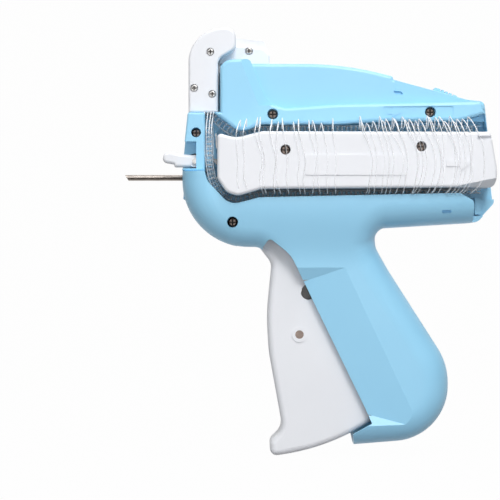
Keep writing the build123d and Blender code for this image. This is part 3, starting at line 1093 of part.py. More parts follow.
def feed_rocker():
    """Rocker inside the side block that steps the strips up."""
    x, z = ROCKER_PIVOT
    far = ROCKER_Y + ROCKER_T
    half = 1.4
    bar = slab(outline((x - ROCKER_ARM + 0.5, z - half, 0.8), (x + FOLLOWER_ARM + 1.6, z - half, 0.8),
                       (x + FOLLOWER_ARM + 1.6, z + half, 0.8), (x - ROCKER_ARM + 0.5, z + half, 0.8)),
                       ROCKER_Y, far)
    bar = bar + pin(x, z, 2.4, ROCKER_Y, far)
    bar = bar + pin(x + FOLLOWER_ARM, z, FOLLOWER_R, far - 0.2, CAM_Y + CAM_T - 0.2)
    return largest(bar - pin(x, z, PIN_R - 0.4 + FIT, ROCKER_Y - 1, far + 1))


def feed_pawl():
    """Hooked pawl on the rocker's front end."""
    x = ROCKER_PIVOT[0] - ROCKER_ARM
    z = ROCKER_PIVOT[1]
    near = ROCKER_Y + ROCKER_T
    root = slab(outline((x + 0.6, z - 1.2, 0.4), (x + 4.6, z - 1.2, 0.6), (x + 4.6, z + 1.3, 0.6),
                        (x + 2.4, z + 1.8, 0.6), (x - 2.6, z + 3.6), (x - 2.6, z + 2.4, 0.3)), near,
                near + PAWL_T)
    return largest(root)


def anti_back_leaf():
    """Spring leaf that keeps the upright strip from slipping down."""
    x = BLOCK_X0 - 0.7
    top = BLOCK_TOP_Z + 0.1
    leaf = outline((x, top - 5.6), (x + 0.4, top - 5.6), (x + 0.1, top), (x - 0.3, top))
    return slab(leaf, STRIP_Y - 1.2, STRIP_Y + 1.2)


def return_spring():
    """Coil that pulls the lever's head back, at rest between lever and anchor."""
    top = lever_top()
    start = (top[0] + 1.9, top[1] - 2.0)
    end = SPRING_ANCHOR
    reach = math.hypot(end[0] - start[0], end[1] - start[1])
    direction = Vector(end[0] - start[0], 0, end[1] - start[1]).normalized()
    coil_len = reach - 6.0
    plane = Plane(origin=Vector(start[0], SPRING_Y, start[1]) + direction * 3.0, z_dir=direction)
    helix = Helix(pitch=coil_len / SPRING_TURNS, height=coil_len, radius=SPRING_R)
    section = Plane(origin=helix @ 0, z_dir=helix % 0) * Circle(SPRING_WIRE_R)
    coil = plane * sweep(section, path=helix, is_frenet=True)
    return largest(coil)


def spring_anchor_pin():
    """Pin in the far casing that holds the rear end of the return spring."""
    return largest(pin(SPRING_ANCHOR[0], SPRING_ANCHOR[1], 1.0, SPRING_Y - 2.2, HEAD_FAR_Y - 1.4))


# ---------------------------------------------------------------- release slider
def release_slider():
    """Thumb slider on the feed ramp that frees the strips."""
    x1 = SLIDER_X0 + SLIDER_LEN
    low = on_ramp(SLIDER_X0, 0.15)
    body = slab(outline(low, on_ramp(x1, 0.15), on_ramp(x1 - 0.6, 0.8) + (0.4,),
                        on_ramp(SLIDER_X0 + 2.6, SLIDER_RISE) + (2.0,),
                        on_ramp(SLIDER_X0 + 0.4, SLIDER_RISE) + (0.5,)),
                PART_Y - 5.0, PART_Y + 5.0)
    for step in range(4):
        x = SLIDER_X0 + 2.6 + step * 1.5
        groove = ramp_strip(x, x + 0.5, SLIDER_RISE - 0.75 - step * 0.17, 4, PART_Y - 6, PART_Y + 6)
        body = body - groove
    stem = ramp_strip(SLIDER_X0 + 2.2, SLIDER_X0 + 6.8, -WALL - 0.3, 0.4, PART_Y - 1.9, PART_Y + 1.9)
    return largest(body + stem)


def release_bar():
    """Bar under the ramp that the slider moves."""
    return largest(ramp_strip(SLIDER_X0 - 3.0, SLIDER_X0 + 8.0, -WALL - 1.6, -WALL - 0.3, PART_Y - 3.2,
                              PART_Y + 3.2))


# ---------------------------------------------------------------- pins and screws
def trigger_pivot_pin():
    """Steel pin of the trigger."""
    return pivot_pin(TRIGGER_PIVOT)


def lever_pivot_pin():
    """Steel pin of the drive lever."""
    return pivot_pin(LEVER_PIVOT)


def link_pin():
    """Steel pin of the trigger that works in the lever's slot."""
    shaft = pin(LINK_POINT[0], LINK_POINT[1], LINK_R, PART_Y - TRIGGER_HALF + 0.1,
                PART_Y + TRIGGER_HALF - 0.1)
    hollows = [pin(LINK_POINT[0], LINK_POINT[1], LINK_DIMPLE_R, PART_Y + side * TRIGGER_HALF - 0.5,
                   PART_Y + side * TRIGGER_HALF + 0.5) for side in (-1, 1)]
    return largest(shaft - hollows)


def lever_top_pin():
    """Pin of the lever that carries the slide."""
    x, z = lever_top()
    return largest(pin(x, z, TOP_PIN_R, SLIDE_Y - 0.1, LEVER_Y + LEVER_T))


def rocker_pin():
    """Pin of the feed rocker, set in the side block."""
    return largest(pin(ROCKER_PIVOT[0], ROCKER_PIVOT[1], PIN_R - 0.4, BLOCK_FACE_Y + WALL + 4,
                       ROCKER_Y + ROCKER_T))


def lock_pin():
    """Pin of the needle lock lever."""
    return largest(pin(LOCK_PIVOT[0], LOCK_PIVOT[1], 1.0, BODY_NEAR_Y + 1.4, -0.15))


def group(solids):
    """Several separate solids in one node."""
    return Compound(children=[largest(solid) for solid in solids])


def cover_screws():
    """Two screws of the upper track cover."""
    return group([screw(x, z, BODY_NEAR_Y + COVER_SCREW_DEPTH, 8.0) for x, z in COVER_SCREWS])


def block_screws():
    """Two screws through the side block into the track plate."""
    length = SEAT_Y + TRACK_T - BLOCK_FACE_Y - 3.6
    return group([screw(x, z, BLOCK_FACE_Y + 3.6, length) for x, z in BLOCK_SCREWS])


def guide_screws():
    """Three small screws that hold the strip guide together."""
    length = GUIDE_SPLIT_Y - GUIDE_NEAR_Y + 4.0
    return group([screw(x, z, GUIDE_NEAR_Y - 0.05, length, small=True) for x, z in GUIDE_SCREWS])


def arm_screw():
    """Small screw in the arm behind the strip guide."""
    return largest(screw(ARM_SCREW[0], ARM_SCREW[1], GUIDE_SPLIT_Y - 0.05, 4.8, small=True))


def nose_screw():
    """Screw of the nose block, deep in its hole."""
    return largest(screw(NOSE_SCREW[0], NOSE_SCREW[1], BODY_NEAR_Y + 5.6, 14.0))


def front_screw():
    """Casing screw that goes in from the near side, under the nose."""
    return largest(screw(FRONT_SCREW[0], FRONT_SCREW[1], BODY_NEAR_Y + FRONT_SCREW_DEPTH, 20.0))


def casing_screws():
    """Screws that hold the casing halves together, from the far side."""
    solids = []
    for x, z in CASE_SCREWS:
        face = BODY_FAR_Y if z < LOWER_TRACK_Z else HEAD_FAR_Y
        length = 20.0 if z < LOWER_TRACK_Z else 15.0
        solids.append(screw(x, z, face - 1.2, length, inward=-1))
    return group(solids)


# ---------------------------------------------------------------- fasteners in the tool
def upper_strip():
    """Runner of the upper fastener strip, from the rear into the strip guide."""
    z = UPPER_TRACK_Z - UPPER_TRACK_GAP / 2
    points = [(HEAD_REAR_X - 5.0, z), (30.0, z), (20.6, z - 2.8), (11.4, NOSE_TOP_Z - 1.6),
              (UPPER_RUNNER_X, NOSE_TOP_Z + 6.0),
              (UPPER_RUNNER_X, RUNNER_END_Z)]
    return largest(swept_strip(points, [8.0, 6.0, 5.0, 5.0], STRIP_W, STRIP_T, STRIP_Y))


def lower_strip():
    """Runner of the lower fastener strip, up past the needle and into the guide."""
    front_z = (BLOCK_BOTTOM_Z + LOWER_TRACK_Z) / 2 - 0.2
    points = [(HEAD_REAR_X - 5.0, lower_track_middle()), (29.0, front_z), (19.6, front_z - 2.5), (11.6, -3.2),
              (9.8, 3.0), (9.8, NOSE_TOP_Z - 3.0), (LOWER_RUNNER_X, NOSE_TOP_Z + 6.0),
              (LOWER_RUNNER_X, RUNNER_END_Z - 1.0)]
    return largest(swept_strip(points, [8.0, 5.0, 5.0, 4.0, 6.0, 6.0], STRIP_W, STRIP_T, STRIP_Y))


def lower_track_middle():
    """Middle height of the lower track at its rear end."""
    return (BLOCK_BOTTOM_Z + LOWER_TRACK_REAR_Z) / 2 + 0.15


def filament(x, index):
    """One filament from the upper track over the side block into the lower track."""
    face_y = BLOCK_FACE_Y - EMBOSS - FILAMENT_R - 0.1
    lean = 1.2 * math.sin(index * 1.7)
    top_z = UPPER_TRACK_Z - UPPER_TRACK_GAP / 2 + 0.5
    low_z = BLOCK_BOTTOM_Z - FILAMENT_R - 0.6
    route = [(x + 2.0, STRIP_Y - 1.4, top_z), (x + 0.6, face_y, top_z), (x - lean, face_y, low_z),
             (x - lean - 1.0, STRIP_Y - 1.4, low_z)]
    path = FilletPolyline(*route, radius=1.2)
    section = Plane(origin=path @ 0, z_dir=path % 0) * Circle(FILAMENT_R)
    return sweep(section, path=path)


def channel_filament(shift):
    """One filament in the upright channel behind the nose."""
    x = NOSE_BACK_X + 1.0 + shift
    high = BLOCK_TOP_Z + 0.5 - shift
    route = [(x + 1.4, STRIP_Y - 1.4, high), (x + 0.5, CHANNEL_FILAMENT_Y, high - 2.0),
             (x - 0.3, CHANNEL_FILAMENT_Y, 2.0 - shift), (x + 1.4, STRIP_Y - 1.4, -1.6 - shift)]
    path = FilletPolyline(*route, radius=1.2)
    section = Plane(origin=path @ 0, z_dir=path % 0) * Circle(FILAMENT_R)
    return sweep(section, path=path)


def fastener_filaments():
    """Filaments of the loaded fasteners."""
    over_block = [filament(FILAMENT_X0 + i * FILAMENT_PITCH, i) for i in range(FILAMENT_COUNT)]
    in_channel = [channel_filament(shift) for shift in (0.0, 1.1, 2.2)]
    return group(over_block + in_channel)


PIECES = [
    near_casing, far_casing, upper_track_cover, nose_block, side_block, track_plate,
    strip_guide_cover, strip_guide_back, needle, needle_hub, cutter_blade, needle_lock_lever, lock_pin,
    trigger, trigger_pivot_pin, link_pin, drive_lever, lever_pivot_pin, lever_top_pin,
    slide_block, rod_bracket, feed_cam, push_rod, slide_rails, slide_buffer,
    feed_rocker, rocker_pin, feed_pawl, anti_back_leaf, return_spring, spring_anchor_pin,
    release_slider, release_bar, cover_screws, block_screws, guide_screws, arm_screw, nose_screw,
    front_screw, casing_screws, upper_strip, lower_strip, fastener_filaments,
]

os.makedirs("parts", exist_ok=True)
for piece in PIECES:
    export_step(piece(), f"parts/{piece.__name__}.step")
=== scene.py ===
"""Looks of a garment tag attacher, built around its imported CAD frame.

The tool is a pistol-grip hand tool: light blue casings, a white trigger, a white side
block over which the filaments of two fastener strips lie, and a steel needle at the nose.
All lengths are in metres, in the frame of the CAD part: the origin is on the needle's axis
at the nose, +X runs back to the feed end, +Z is up and -Y is the near side.
"""

from __future__ import annotations

import json
import logging
import math
import random
from dataclasses import dataclass
from enum import Enum
from typing import Any, Sequence

import bmesh
import bpy
from mathutils import Matrix, Vector

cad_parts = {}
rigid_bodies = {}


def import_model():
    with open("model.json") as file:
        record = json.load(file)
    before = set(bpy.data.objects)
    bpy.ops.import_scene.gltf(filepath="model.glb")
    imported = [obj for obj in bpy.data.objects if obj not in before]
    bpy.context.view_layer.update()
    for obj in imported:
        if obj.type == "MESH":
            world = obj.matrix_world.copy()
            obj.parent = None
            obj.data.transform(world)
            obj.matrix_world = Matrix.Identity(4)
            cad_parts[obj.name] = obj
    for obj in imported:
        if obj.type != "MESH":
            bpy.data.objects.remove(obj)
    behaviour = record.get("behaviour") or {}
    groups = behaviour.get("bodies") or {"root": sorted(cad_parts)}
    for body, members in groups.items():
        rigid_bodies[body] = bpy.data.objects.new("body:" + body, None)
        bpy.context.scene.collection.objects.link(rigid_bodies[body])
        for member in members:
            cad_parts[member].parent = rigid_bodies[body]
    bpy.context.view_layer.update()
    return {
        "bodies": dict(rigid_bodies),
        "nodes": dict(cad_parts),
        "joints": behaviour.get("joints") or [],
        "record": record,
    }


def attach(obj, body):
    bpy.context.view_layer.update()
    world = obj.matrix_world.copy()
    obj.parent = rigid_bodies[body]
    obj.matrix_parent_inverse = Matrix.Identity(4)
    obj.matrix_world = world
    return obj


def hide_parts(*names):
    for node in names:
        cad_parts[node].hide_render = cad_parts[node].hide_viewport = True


LOG = logging.getLogger("tag_attacher")
MM = 0.001
TINY = 1e-9          # smallest length that is divided by
PLASTIC_IOR = 1.52
NYLON_IOR = 1.5
CORNER_SHARE = 0.45  # share of a stretch of path that the arc of one corner may take
ROD_ROUND = 0.4      # length of a rod's rounded end, as a share of its radius
ROD_TIP = 0.55       # radius at the very end of a rod, as a share of its radius
Point = tuple[float, float, float]
Colour = tuple[float, float, float]
WHITE_LIGHT = (1.0, 1.0, 1.0, 1.0)


class Slot(Enum):
    """Material slots of the record, one for each finish."""

    BLUE = "blue_plastic"
    WHITE = "white_plastic"
    STEEL = "steel"
    DARK_STEEL = "dark_steel"
    BRASS = "brass"
    CLEAR = "clear_plastic"
    RUBBER = "black_rubber"
    GREY = "grey_plastic"


# ---------------------------------------------------------------------- shader expressions
class Wire:
    """One shader socket, with the arithmetic that a material needs."""

    def __init__(self, tree: "ShaderTree", socket: bpy.types.NodeSocket) -> None:
        """Wrap a socket.

        Args:
            tree: The tree that owns the socket.
            socket: The output socket.
        """
        self.tree = tree
        self.socket = socket

    def math(self, operation: str, other: "Wire | float", swap: bool = False) -> "Wire":
        """Add a Math node.

        Args:
            operation: The Math node's operation.
            other: The second operand.
            swap: Whether the operands change places.

        Returns:
            The node's result.
        """
        pair: list[Wire | float] = [other, self] if swap else [self, other]
        return self.tree.node("ShaderNodeMath", {"operation": operation}, {0: pair[0], 1: pair[1]})

    def __add__(self, other: "Wire | float") -> "Wire":
        """Sum."""
        return self.math("ADD", other)

    __radd__ = __add__

    def __sub__(self, other: "Wire | float") -> "Wire":
        """Difference."""
        return self.math("SUBTRACT", other)

    def __rsub__(self, other: float) -> "Wire":
        """Difference from a number."""
        return self.math("SUBTRACT", other, swap=True)

    def __mul__(self, other: "Wire | float") -> "Wire":
        """Product."""
        return self.math("MULTIPLY", other)

    def clamp(self, low: float, high: float) -> "Wire":
        """Limit to a range.

        Args:
            low: Smallest value.
            high: Largest value.

        Returns:
            The limited value.
        """
        return self.math("MAXIMUM", low).math("MINIMUM", high)


class ShaderTree:
    """Node tree of one material."""

    def __init__(self, name: str) -> None:
        """Start an empty material.

        Args:
            name: Name of the material.
        """
        self.material = bpy.data.materials.new(name)
        self.material.use_nodes = True
        self.tree = self.material.node_tree
        self.tree.nodes.clear()

    def node(
        self,
        kind: str,
        settings: dict[str, Any] | None = None,
        values: dict[str | int, Any] | None = None,
        output: str | int = 0,
    ) -> Wire:
        """Add a node.

        Args:
            kind: The node's type.
            settings: Attributes that are set first. A ramp's stops are given as "stops".
            values: Numbers, colours or wires for its inputs.
            output: Which output is returned.

        Returns:
            The chosen output.
        """
        made = self.tree.nodes.new(kind)
        for key, value in (settings or {}).items():
            if key == "stops":
                self.set_stops(made, value)
            else:
                setattr(made, key, value)
        for key, value in (values or {}).items():
            if isinstance(value, Wire):
                self.tree.links.new(value.socket, made.inputs[key])
            else:
                made.inputs[key].default_value = value
        return Wire(self, made.outputs[output])

    @staticmethod
    def set_stops(ramp: bpy.types.Node, stops: Sequence[tuple[float, float]]) -> None:
        """Set the grey stops of a colour ramp.

        Args:
            ramp: The ramp node.
            stops: Places and grey levels.
        """
        elements = ramp.color_ramp.elements
        while len(elements) < len(stops):
            elements.new(1.0)
        for element, (place, level) in zip(elements, stops):
            element.position = place
            element.color = (level, level, level, 1.0)

    def place(self) -> Wire:
        """Object coordinates.

        Returns:
            The coordinates, in metres.
        """
        return self.node("ShaderNodeTexCoord", output="Object")

    def noise(self, scale: float, detail: float = 2.0, stretch: Point = (1.0, 1.0, 1.0)) -> Wire:
        """Noise over the object.

        Args:
            scale: Cycles per metre.
            detail: Octaves.
            stretch: Scale along each axis.

        Returns:
            The noise's value.
        """
        where = self.node("ShaderNodeMapping", None, {"Vector": self.place(), "Scale": stretch})
        values = {"Vector": where, "Scale": scale, "Detail": detail}
        return self.node("ShaderNodeTexNoise", None, values)

    def ramp(self, value: Wire, low: float, high: float) -> Wire:
        """Value stretched from a range to 0..1.

        Args:
            value: The value.
            low: What becomes 0.
            high: What becomes 1.

        Returns:
            The stretched value.
        """
        stops = ((low, 0.0), (high, 1.0))
        return self.node("ShaderNodeValToRGB", {"stops": stops}, {"Fac": value})

    def mix(self, share: Wire, first: Colour, second: Colour) -> Wire:
        """Mix two colours.

        Args:
            share: Share of the second.
            first: First colour.
            second: Second colour.

        Returns:
            The mixed colour.
        """
        return self.node(
            "ShaderNodeMix",
            {"data_type": "RGBA"},
            {0: share, 6: (*first, 1.0), 7: (*second, 1.0)},
            output=2,
        )

    def bump(self, height: Wire, strength: float, distance: float) -> Wire:
        """Bump from a height.

        Args:
            height: The height.
            strength: Share of the effect.
            distance: Height in metres that a value of 1 stands for.

        Returns:
            The normal.
        """
        values = {"Height": height, "Strength": strength, "Distance": distance}
        return self.node("ShaderNodeBump", None, values)

    def surface(self, values: dict[str, Any]) -> bpy.types.Material:
        """Finish with a Principled surface.

        Args:
            values: Inputs of the Principled node.

        Returns:
            The material.
        """
        return self.close(self.node("ShaderNodeBsdfPrincipled", None, values))

    def close(self, shader: Wire) -> bpy.types.Material:
        """Link a shader to the output.

        Args:
            shader: The shader's output.

        Returns:
            The material.
        """
        end = self.tree.nodes.new("ShaderNodeOutputMaterial")
        self.tree.links.new(shader.socket, end.inputs["Surface"])
        return self.material


@dataclass(frozen=True)
class Patches:
    """Soft patches: noise, of which the values between two levels become 0 to 1."""

    scale: float
    detail: float
    low: float
    high: float
    stretch: Point = (1.0, 1.0, 1.0)

    def spread(self, tree: ShaderTree) -> Wire:
        """Add the patches to a material.

        Args:
            tree: The material's tree.

        Returns:
            The patches, 1 inside them and 0 between them.
        """
        noise = tree.noise(self.scale, self.detail, self.stretch)
        return tree.ramp(noise, self.low, self.high)


# ---------------------------------------------------------------------- finishes
@dataclass(frozen=True)
class MouldedPlastic:
    """Injection-moulded plastic with a fine grain."""

    name: str
    colour: Colour
    shade: Colour
    roughness: float = 0.36
    grain: float = 2600.0
    depth: float = 0.00003
    cloud: Patches = Patches(38.0, 3.0, 0.3, 0.7)
    scuff: Patches = Patches(420.0, 4.0, 0.56, 0.72, (1.0, 1.0, 0.25))
    wave: float = 60.0
    shading: float = 0.5
    wear: float = 0.05
    grain_height: float = 0.7
    wave_height: float = 0.5
    bumpiness: float = 0.35

    def make(self) -> bpy.types.Material:
        """Build the material.

        Returns:
            The material.
        """
        tree = ShaderTree(self.name)
        cloud = self.cloud.spread(tree)
        grain = tree.noise(self.grain, 2.0)
        wave = tree.noise(self.wave, 1.0)
        scuff = self.scuff.spread(tree)
        height = grain * self.grain_height + wave * self.wave_height
        return tree.surface(
            {
                "Base Color": tree.mix(cloud * self.shading, self.colour, self.shade),
                "Roughness": self.roughness + cloud * self.wear + scuff * self.wear,
                "IOR": PLASTIC_IOR,
                "Normal": tree.bump(height, self.bumpiness, self.depth),
            }
        )


@dataclass(frozen=True)
class MachinedMetal:
    """Metal with fine drawn lines along one axis."""

    name: str
    colour: Colour
    shade: Colour
    roughness: float = 0.28
    lines: Point = (0.04, 1.0, 1.0)
    scale: float = 3200.0
    cloud: Patches = Patches(240.0, 3.0, 0.35, 0.7)
    line_shading: float = 0.25
    cloud_shading: float = 0.6
    line_roughness: float = 0.14
    cloud_roughness: float = 0.06
    bumpiness: float = 0.3
    depth: float = 0.00002

    def make(self) -> bpy.types.Material:
        """Build the material.

        Returns:
            The material.
        """
        tree = ShaderTree(self.name)
        drawn = tree.noise(self.scale, 3.0, self.lines)
        cloud = self.cloud.spread(tree)
        share = cloud * self.cloud_shading + drawn * self.line_shading
        rough = self.roughness + drawn * self.line_roughness + cloud * self.cloud_roughness
        return tree.surface(
            {
                "Base Color": tree.mix(share, self.colour, self.shade),
                "Metallic": 1.0,
                "Roughness": rough,
                "Normal": tree.bump(drawn, self.bumpiness, self.depth),
            }
        )


@dataclass(frozen=True)
class ClearNylon:
    """Clear to milky nylon of the fastener strips."""

    name: str
    colour: Colour
    roughness: float = 0.3
    solidity: float = 0.34
    milk: Patches = Patches(900.0, 2.0, 0.3, 0.75)
    milk_shade: float = 0.9
    milk_roughness: float = 0.15
    milk_solidity: float = 0.1
    bumpiness: float = 0.2
    depth: float = 0.00003

    def make(self) -> bpy.types.Material:
        """Build the material.

        Returns:
            The material.
        """
        tree = ShaderTree(self.name)
        milk = self.milk.spread(tree)
        shade = tuple(self.milk_shade * part for part in self.colour)
        return tree.surface(
            {
                "Base Color": tree.mix(milk, self.colour, shade),
                "Roughness": self.roughness + milk * self.milk_roughness,
                "IOR": NYLON_IOR,
                "Alpha": self.solidity + milk * self.milk_solidity,
                "Normal": tree.bump(milk, self.bumpiness, self.depth),
            }
        )


@dataclass(frozen=True)
class FilamentNylon:
    """Thin drawn nylon, clearer between two heights, where it lies against the block."""

    name: str
    colour: Colour
    block_low: float = -4.5 * MM
    block_high: float = 15.5 * MM
    fade: float = 1.5 * MM
    solidity: float = 0.2
    loose_solidity: float = 0.95
    base: float = -20.0 * MM
    gain: float = 15.0
    milk: Patches = Patches(700.0, 2.0, 0.3, 0.75)
    milk_shade: float = 0.95
    roughness: float = 0.3
    milk_roughness: float = 0.1

    def level(self, height: float) -> float:
        """Place of a height on the ramps.

        Args:
            height: Height in metres.

        Returns:
            Its place between 0 and 1.
        """
        return (height - self.base) * self.gain

    def make(self) -> bpy.types.Material:
        """Build the material.

        Returns:
            The material.
        """
        tree = ShaderTree(self.name)
        place = tree.node("ShaderNodeSeparateXYZ", None, {0: tree.place()}, "Z")
        height = (place - self.base) * self.gain
        top, low = self.block_high, self.block_low
        over = tree.ramp(height, self.level(top), self.level(top + self.fade))
        under = 1.0 - tree.ramp(height, self.level(low - self.fade), self.level(low))
        loose = (over + under).clamp(0.0, 1.0)
        milk = self.milk.spread(tree)
        shade = tuple(self.milk_shade * part for part in self.colour)
        return tree.surface(
            {
                "Base Color": tree.mix(milk, self.colour, shade),
                "Roughness": self.roughness + milk * self.milk_roughness,
                "IOR": NYLON_IOR,
                "Alpha": self.solidity + loose * (self.loose_solidity - self.solidity),
            }
        )


FINISHES: dict[Slot, Any] = {
    Slot.BLUE: MouldedPlastic("blue_abs", (0.34, 0.69, 0.925), (0.315, 0.66, 0.905)),
    Slot.WHITE: MouldedPlastic("white_abs", (0.845, 0.86, 0.895), (0.81, 0.825, 0.865), 0.34),
    Slot.STEEL: MachinedMetal("bright_steel", (0.62, 0.61, 0.60), (0.45, 0.44, 0.43)),
    Slot.DARK_STEEL: MachinedMetal("plain_steel", (0.36, 0.35, 0.34), (0.26, 0.25, 0.25), 0.36),
    Slot.BRASS: MachinedMetal("plain_brass", (0.70, 0.52, 0.26), (0.55, 0.40, 0.20)),
    Slot.CLEAR: ClearNylon("clear_nylon", (0.97, 0.98, 0.99)),
    Slot.RUBBER: MouldedPlastic("black_rubber", (0.03, 0.03, 0.03), (0.05, 0.05, 0.05), 0.7),
    Slot.GREY: MouldedPlastic("grey_acetal", (0.22, 0.24, 0.27), (0.18, 0.20, 0.23), 0.45),
}
PIN_STEEL = MachinedMetal("pin_steel", (0.24, 0.19, 0.165), (0.15, 0.12, 0.105), 0.28)
PIN_STEEL_NODES = ("link_pin", "cover_screws", "block_screws", "nose_screw", "front_screw")
NEEDLE_STEEL = MachinedMetal("needle_steel", (0.40, 0.36, 0.33), (0.26, 0.23, 0.21), 0.24)
FILAMENT = FilamentNylon("filament_nylon", (0.97, 0.98, 0.99))
# Painted shade: a near-black material that stands in for the shade inside the screws' cross
# recesses.
RECESS_SHADE_PAINT = MouldedPlastic("recess_shade", (0.05, 0.04, 0.035), (0.08, 0.06, 0.05), 0.6)


class Paints:
    """Materials of the object, made once each."""

    def __init__(self) -> None:
        """Make every finish."""
        self.by_slot = {slot: finish.make() for slot, finish in FINISHES.items()}
        pin_steel = PIN_STEEL.make()
        self.by_node = {name: pin_steel for name in PIN_STEEL_NODES}
        self.by_node["needle"] = NEEDLE_STEEL.make()
        # painted shade for the cross recesses of the screws
        self.recess = RECESS_SHADE_PAINT.make()
        self.filament = FILAMENT.make()

    def dress(self, piece: bpy.types.Object, slot: Slot) -> None:
        """Give a piece one finish.

        Args:
            piece: The mesh object.
            slot: Its finish.
        """
        piece.data.materials.clear()
        piece.data.materials.append(self.by_slot[slot])


# ---------------------------------------------------------------------- studio
@dataclass(frozen=True)
class Lamp:
    """Square soft lamp that points at a target."""

    name: str
    place: Point
    target: Point
    size: float
    power: float

    def build(self) -> None:
        """Make the lamp."""
        data = bpy.data.lights.new(self.name, "AREA")
        data.shape = "SQUARE"
        data.size = self.size
        data.energy = self.power
        lamp = bpy.data.objects.new(self.name, data)
        lamp.location = self.place
        way = Vector(self.target) - Vector(self.place)
        lamp.rotation_euler = way.to_track_quat("-Z", "Y").to_euler()
        bpy.context.scene.collection.objects.link(lamp)


LAMPS = (
    Lamp("key", (0.22, -0.75, 0.62), (0.05, 0.0, -0.02), size=0.45, power=7.0),
    Lamp("front", (0.05, -0.95, -0.08), (0.05, 0.0, -0.04), size=0.25, power=1.2),
    Lamp("top", (0.1, -0.2, 0.85), (0.05, 0.0, -0.02), size=0.5, power=3.2),
    Lamp("left", (-0.6, -0.7, 0.25), (0.05, 0.0, -0.03), size=0.6, power=1.2),
    Lamp("rim", (0.2, 0.8, 0.45), (0.05, 0.0, -0.02), size=0.7, power=1.5),
)


@dataclass(frozen=True)
class Studio:
    """Camera, pale floor, backdrop and soft lamps."""

    eye: Point = (25.1 * MM, -750.0 * MM, -27.4 * MM)
    field_width: float = 190.0 * MM
    sensor: float = 36.0
    clip: tuple[float, float] = (0.01, 20.0)
    floor_z: float = -105.0 * MM
    backdrop_y: float = 600.0 * MM
    reach: float = 3.0
    sweep_radius: float = 0.3
    sweep_steps: int = 12
    sweep_angle: float = 60.0
    weld: float = 1e-6
    floor_colour: Colour = (0.3, 0.3, 0.31)
    glow_share: float = 0.985
    world_strength: float = 0.15

    def camera(self) -> None:
        """Make the camera, which looks along +Y."""
        data = bpy.data.cameras.new("camera")
        data.sensor_width = self.sensor
        data.lens = self.sensor * -self.eye[1] / self.field_width
        data.clip_start, data.clip_end = self.clip
        made = bpy.data.objects.new("camera", data)
        made.location = self.eye
        made.rotation_euler = (math.pi / 2, 0.0, 0.0)
        bpy.context.scene.collection.objects.link(made)
        bpy.context.scene.camera = made

    def floor(self) -> None:
        """Make the floor with its sweep up to the backdrop."""
        mesh = bmesh.new()
        depths = (-self.reach, self.backdrop_y)
        start = [mesh.verts.new((-self.reach, y, self.floor_z)) for y in depths]
        mesh.edges.new(start)
        spun = bmesh.ops.spin(
            mesh,
            geom=[start[1]],
            cent=(-self.reach, self.backdrop_y, self.floor_z + self.sweep_radius),
            axis=(1, 0, 0),
            angle=math.pi / 2,
            steps=self.sweep_steps,
        )
        last = next(item for item in spun["geom_last"] if isinstance(item, bmesh.types.BMVert))
        top = mesh.verts.new(last.co + Vector((0, 0, self.reach)))
        mesh.edges.new((last, top))
        bmesh.ops.remove_doubles(mesh, verts=mesh.verts, dist=self.weld)
        made = bmesh.ops.extrude_edge_only(mesh, edges=list(mesh.edges))
        moved = [item for item in made["geom"] if isinstance(item, bmesh.types.BMVert)]
        bmesh.ops.translate(mesh, verts=moved, vec=(2 * self.reach, 0, 0))
        bmesh.ops.recalc_face_normals(mesh, faces=mesh.faces)
        piece = finish_mesh("floor", mesh, smooth_angle=self.sweep_angle)
        piece.data.materials.append(self.floor_paint())

    def floor_paint(self) -> bpy.types.Material:
        """Pale floor that the camera and clear things see as white.

        Returns:
            The material.
        """
        tree = ShaderTree("pale_floor")
        matt = tree.node("ShaderNodeBsdfDiffuse", None, {"Color": (*self.floor_colour, 1.0)})
        glow = tree.node("ShaderNodeEmission", None, {"Color": WHITE_LIGHT, "Strength": 1.0})
        camera, glossy, clear = (
            tree.node("ShaderNodeLightPath", output=f"Is {kind} Ray")
            for kind in ("Camera", "Glossy", "Transmission")
        )
        seen = (camera + glossy + clear).clamp(0.0, 1.0) * self.glow_share
        return tree.close(tree.node("ShaderNodeMixShader", None, {0: seen, 1: matt, 2: glow}))

    def lights(self) -> None:
        """Make the soft lamps and the even world light."""
        for lamp in LAMPS:
            lamp.build()
        world = bpy.data.worlds.new("studio")
        world.use_nodes = True
        background = world.node_tree.nodes["Background"].inputs
        background["Color"].default_value = WHITE_LIGHT
        background["Strength"].default_value = self.world_strength
        bpy.context.scene.world = world

    def build(self) -> None:
        """Make the whole studio."""
        bpy.context.scene.view_settings.view_transform = "Standard"
        self.camera()
        self.floor()
        self.lights()


# ---------------------------------------------------------------------- mesh helpers
def finish_mesh(
    name: str, mesh: bmesh.types.BMesh, smooth_angle: float = 35.0
) -> bpy.types.Object:
    """Turn a bmesh into a linked object.

    Args:
        name: Name of the piece.
        mesh: The bmesh, which is freed.
        smooth_angle: Edges sharper than this stay sharp, in degrees.

    Returns:
        The object, at the origin.
    """
    limit = math.radians(smooth_angle)
    for face in mesh.faces:
        face.smooth = True
    for edge in mesh.edges:
        edge.smooth = len(edge.link_faces) == 2 and edge.calc_face_angle(0.0) < limit
    data = bpy.data.meshes.new(name)
    mesh.to_mesh(data)
    mesh.free()
    piece = bpy.data.objects.new(name, data)
    bpy.context.scene.collection.objects.link(piece)
    return piece


def smooth_path(points: Sequence[Vector], steps: int) -> list[Vector]:
    """Round a path through its points.

    Args:
        points: Points that the path passes.
        steps: Stations between two of them.

    Returns:
        Stations along the rounded path.
    """
    ends = [points[0] * 2 - points[1], *points, points[-1] * 2 - points[-2]]
    path = []
    for before, start, stop, after in zip(ends, ends[1:], ends[2:], ends[3:]):
        for step in range(steps):
            share = step / steps
            bend = (before * 2 - start * 5 + stop * 4 - after) * share**2
            twist = (start * 3 - before - stop * 3 + after) * share**3
            path.append((start * 2 + (stop - before) * share + bend + twist) / 2)
    path.append(points[-1].copy())
    return path


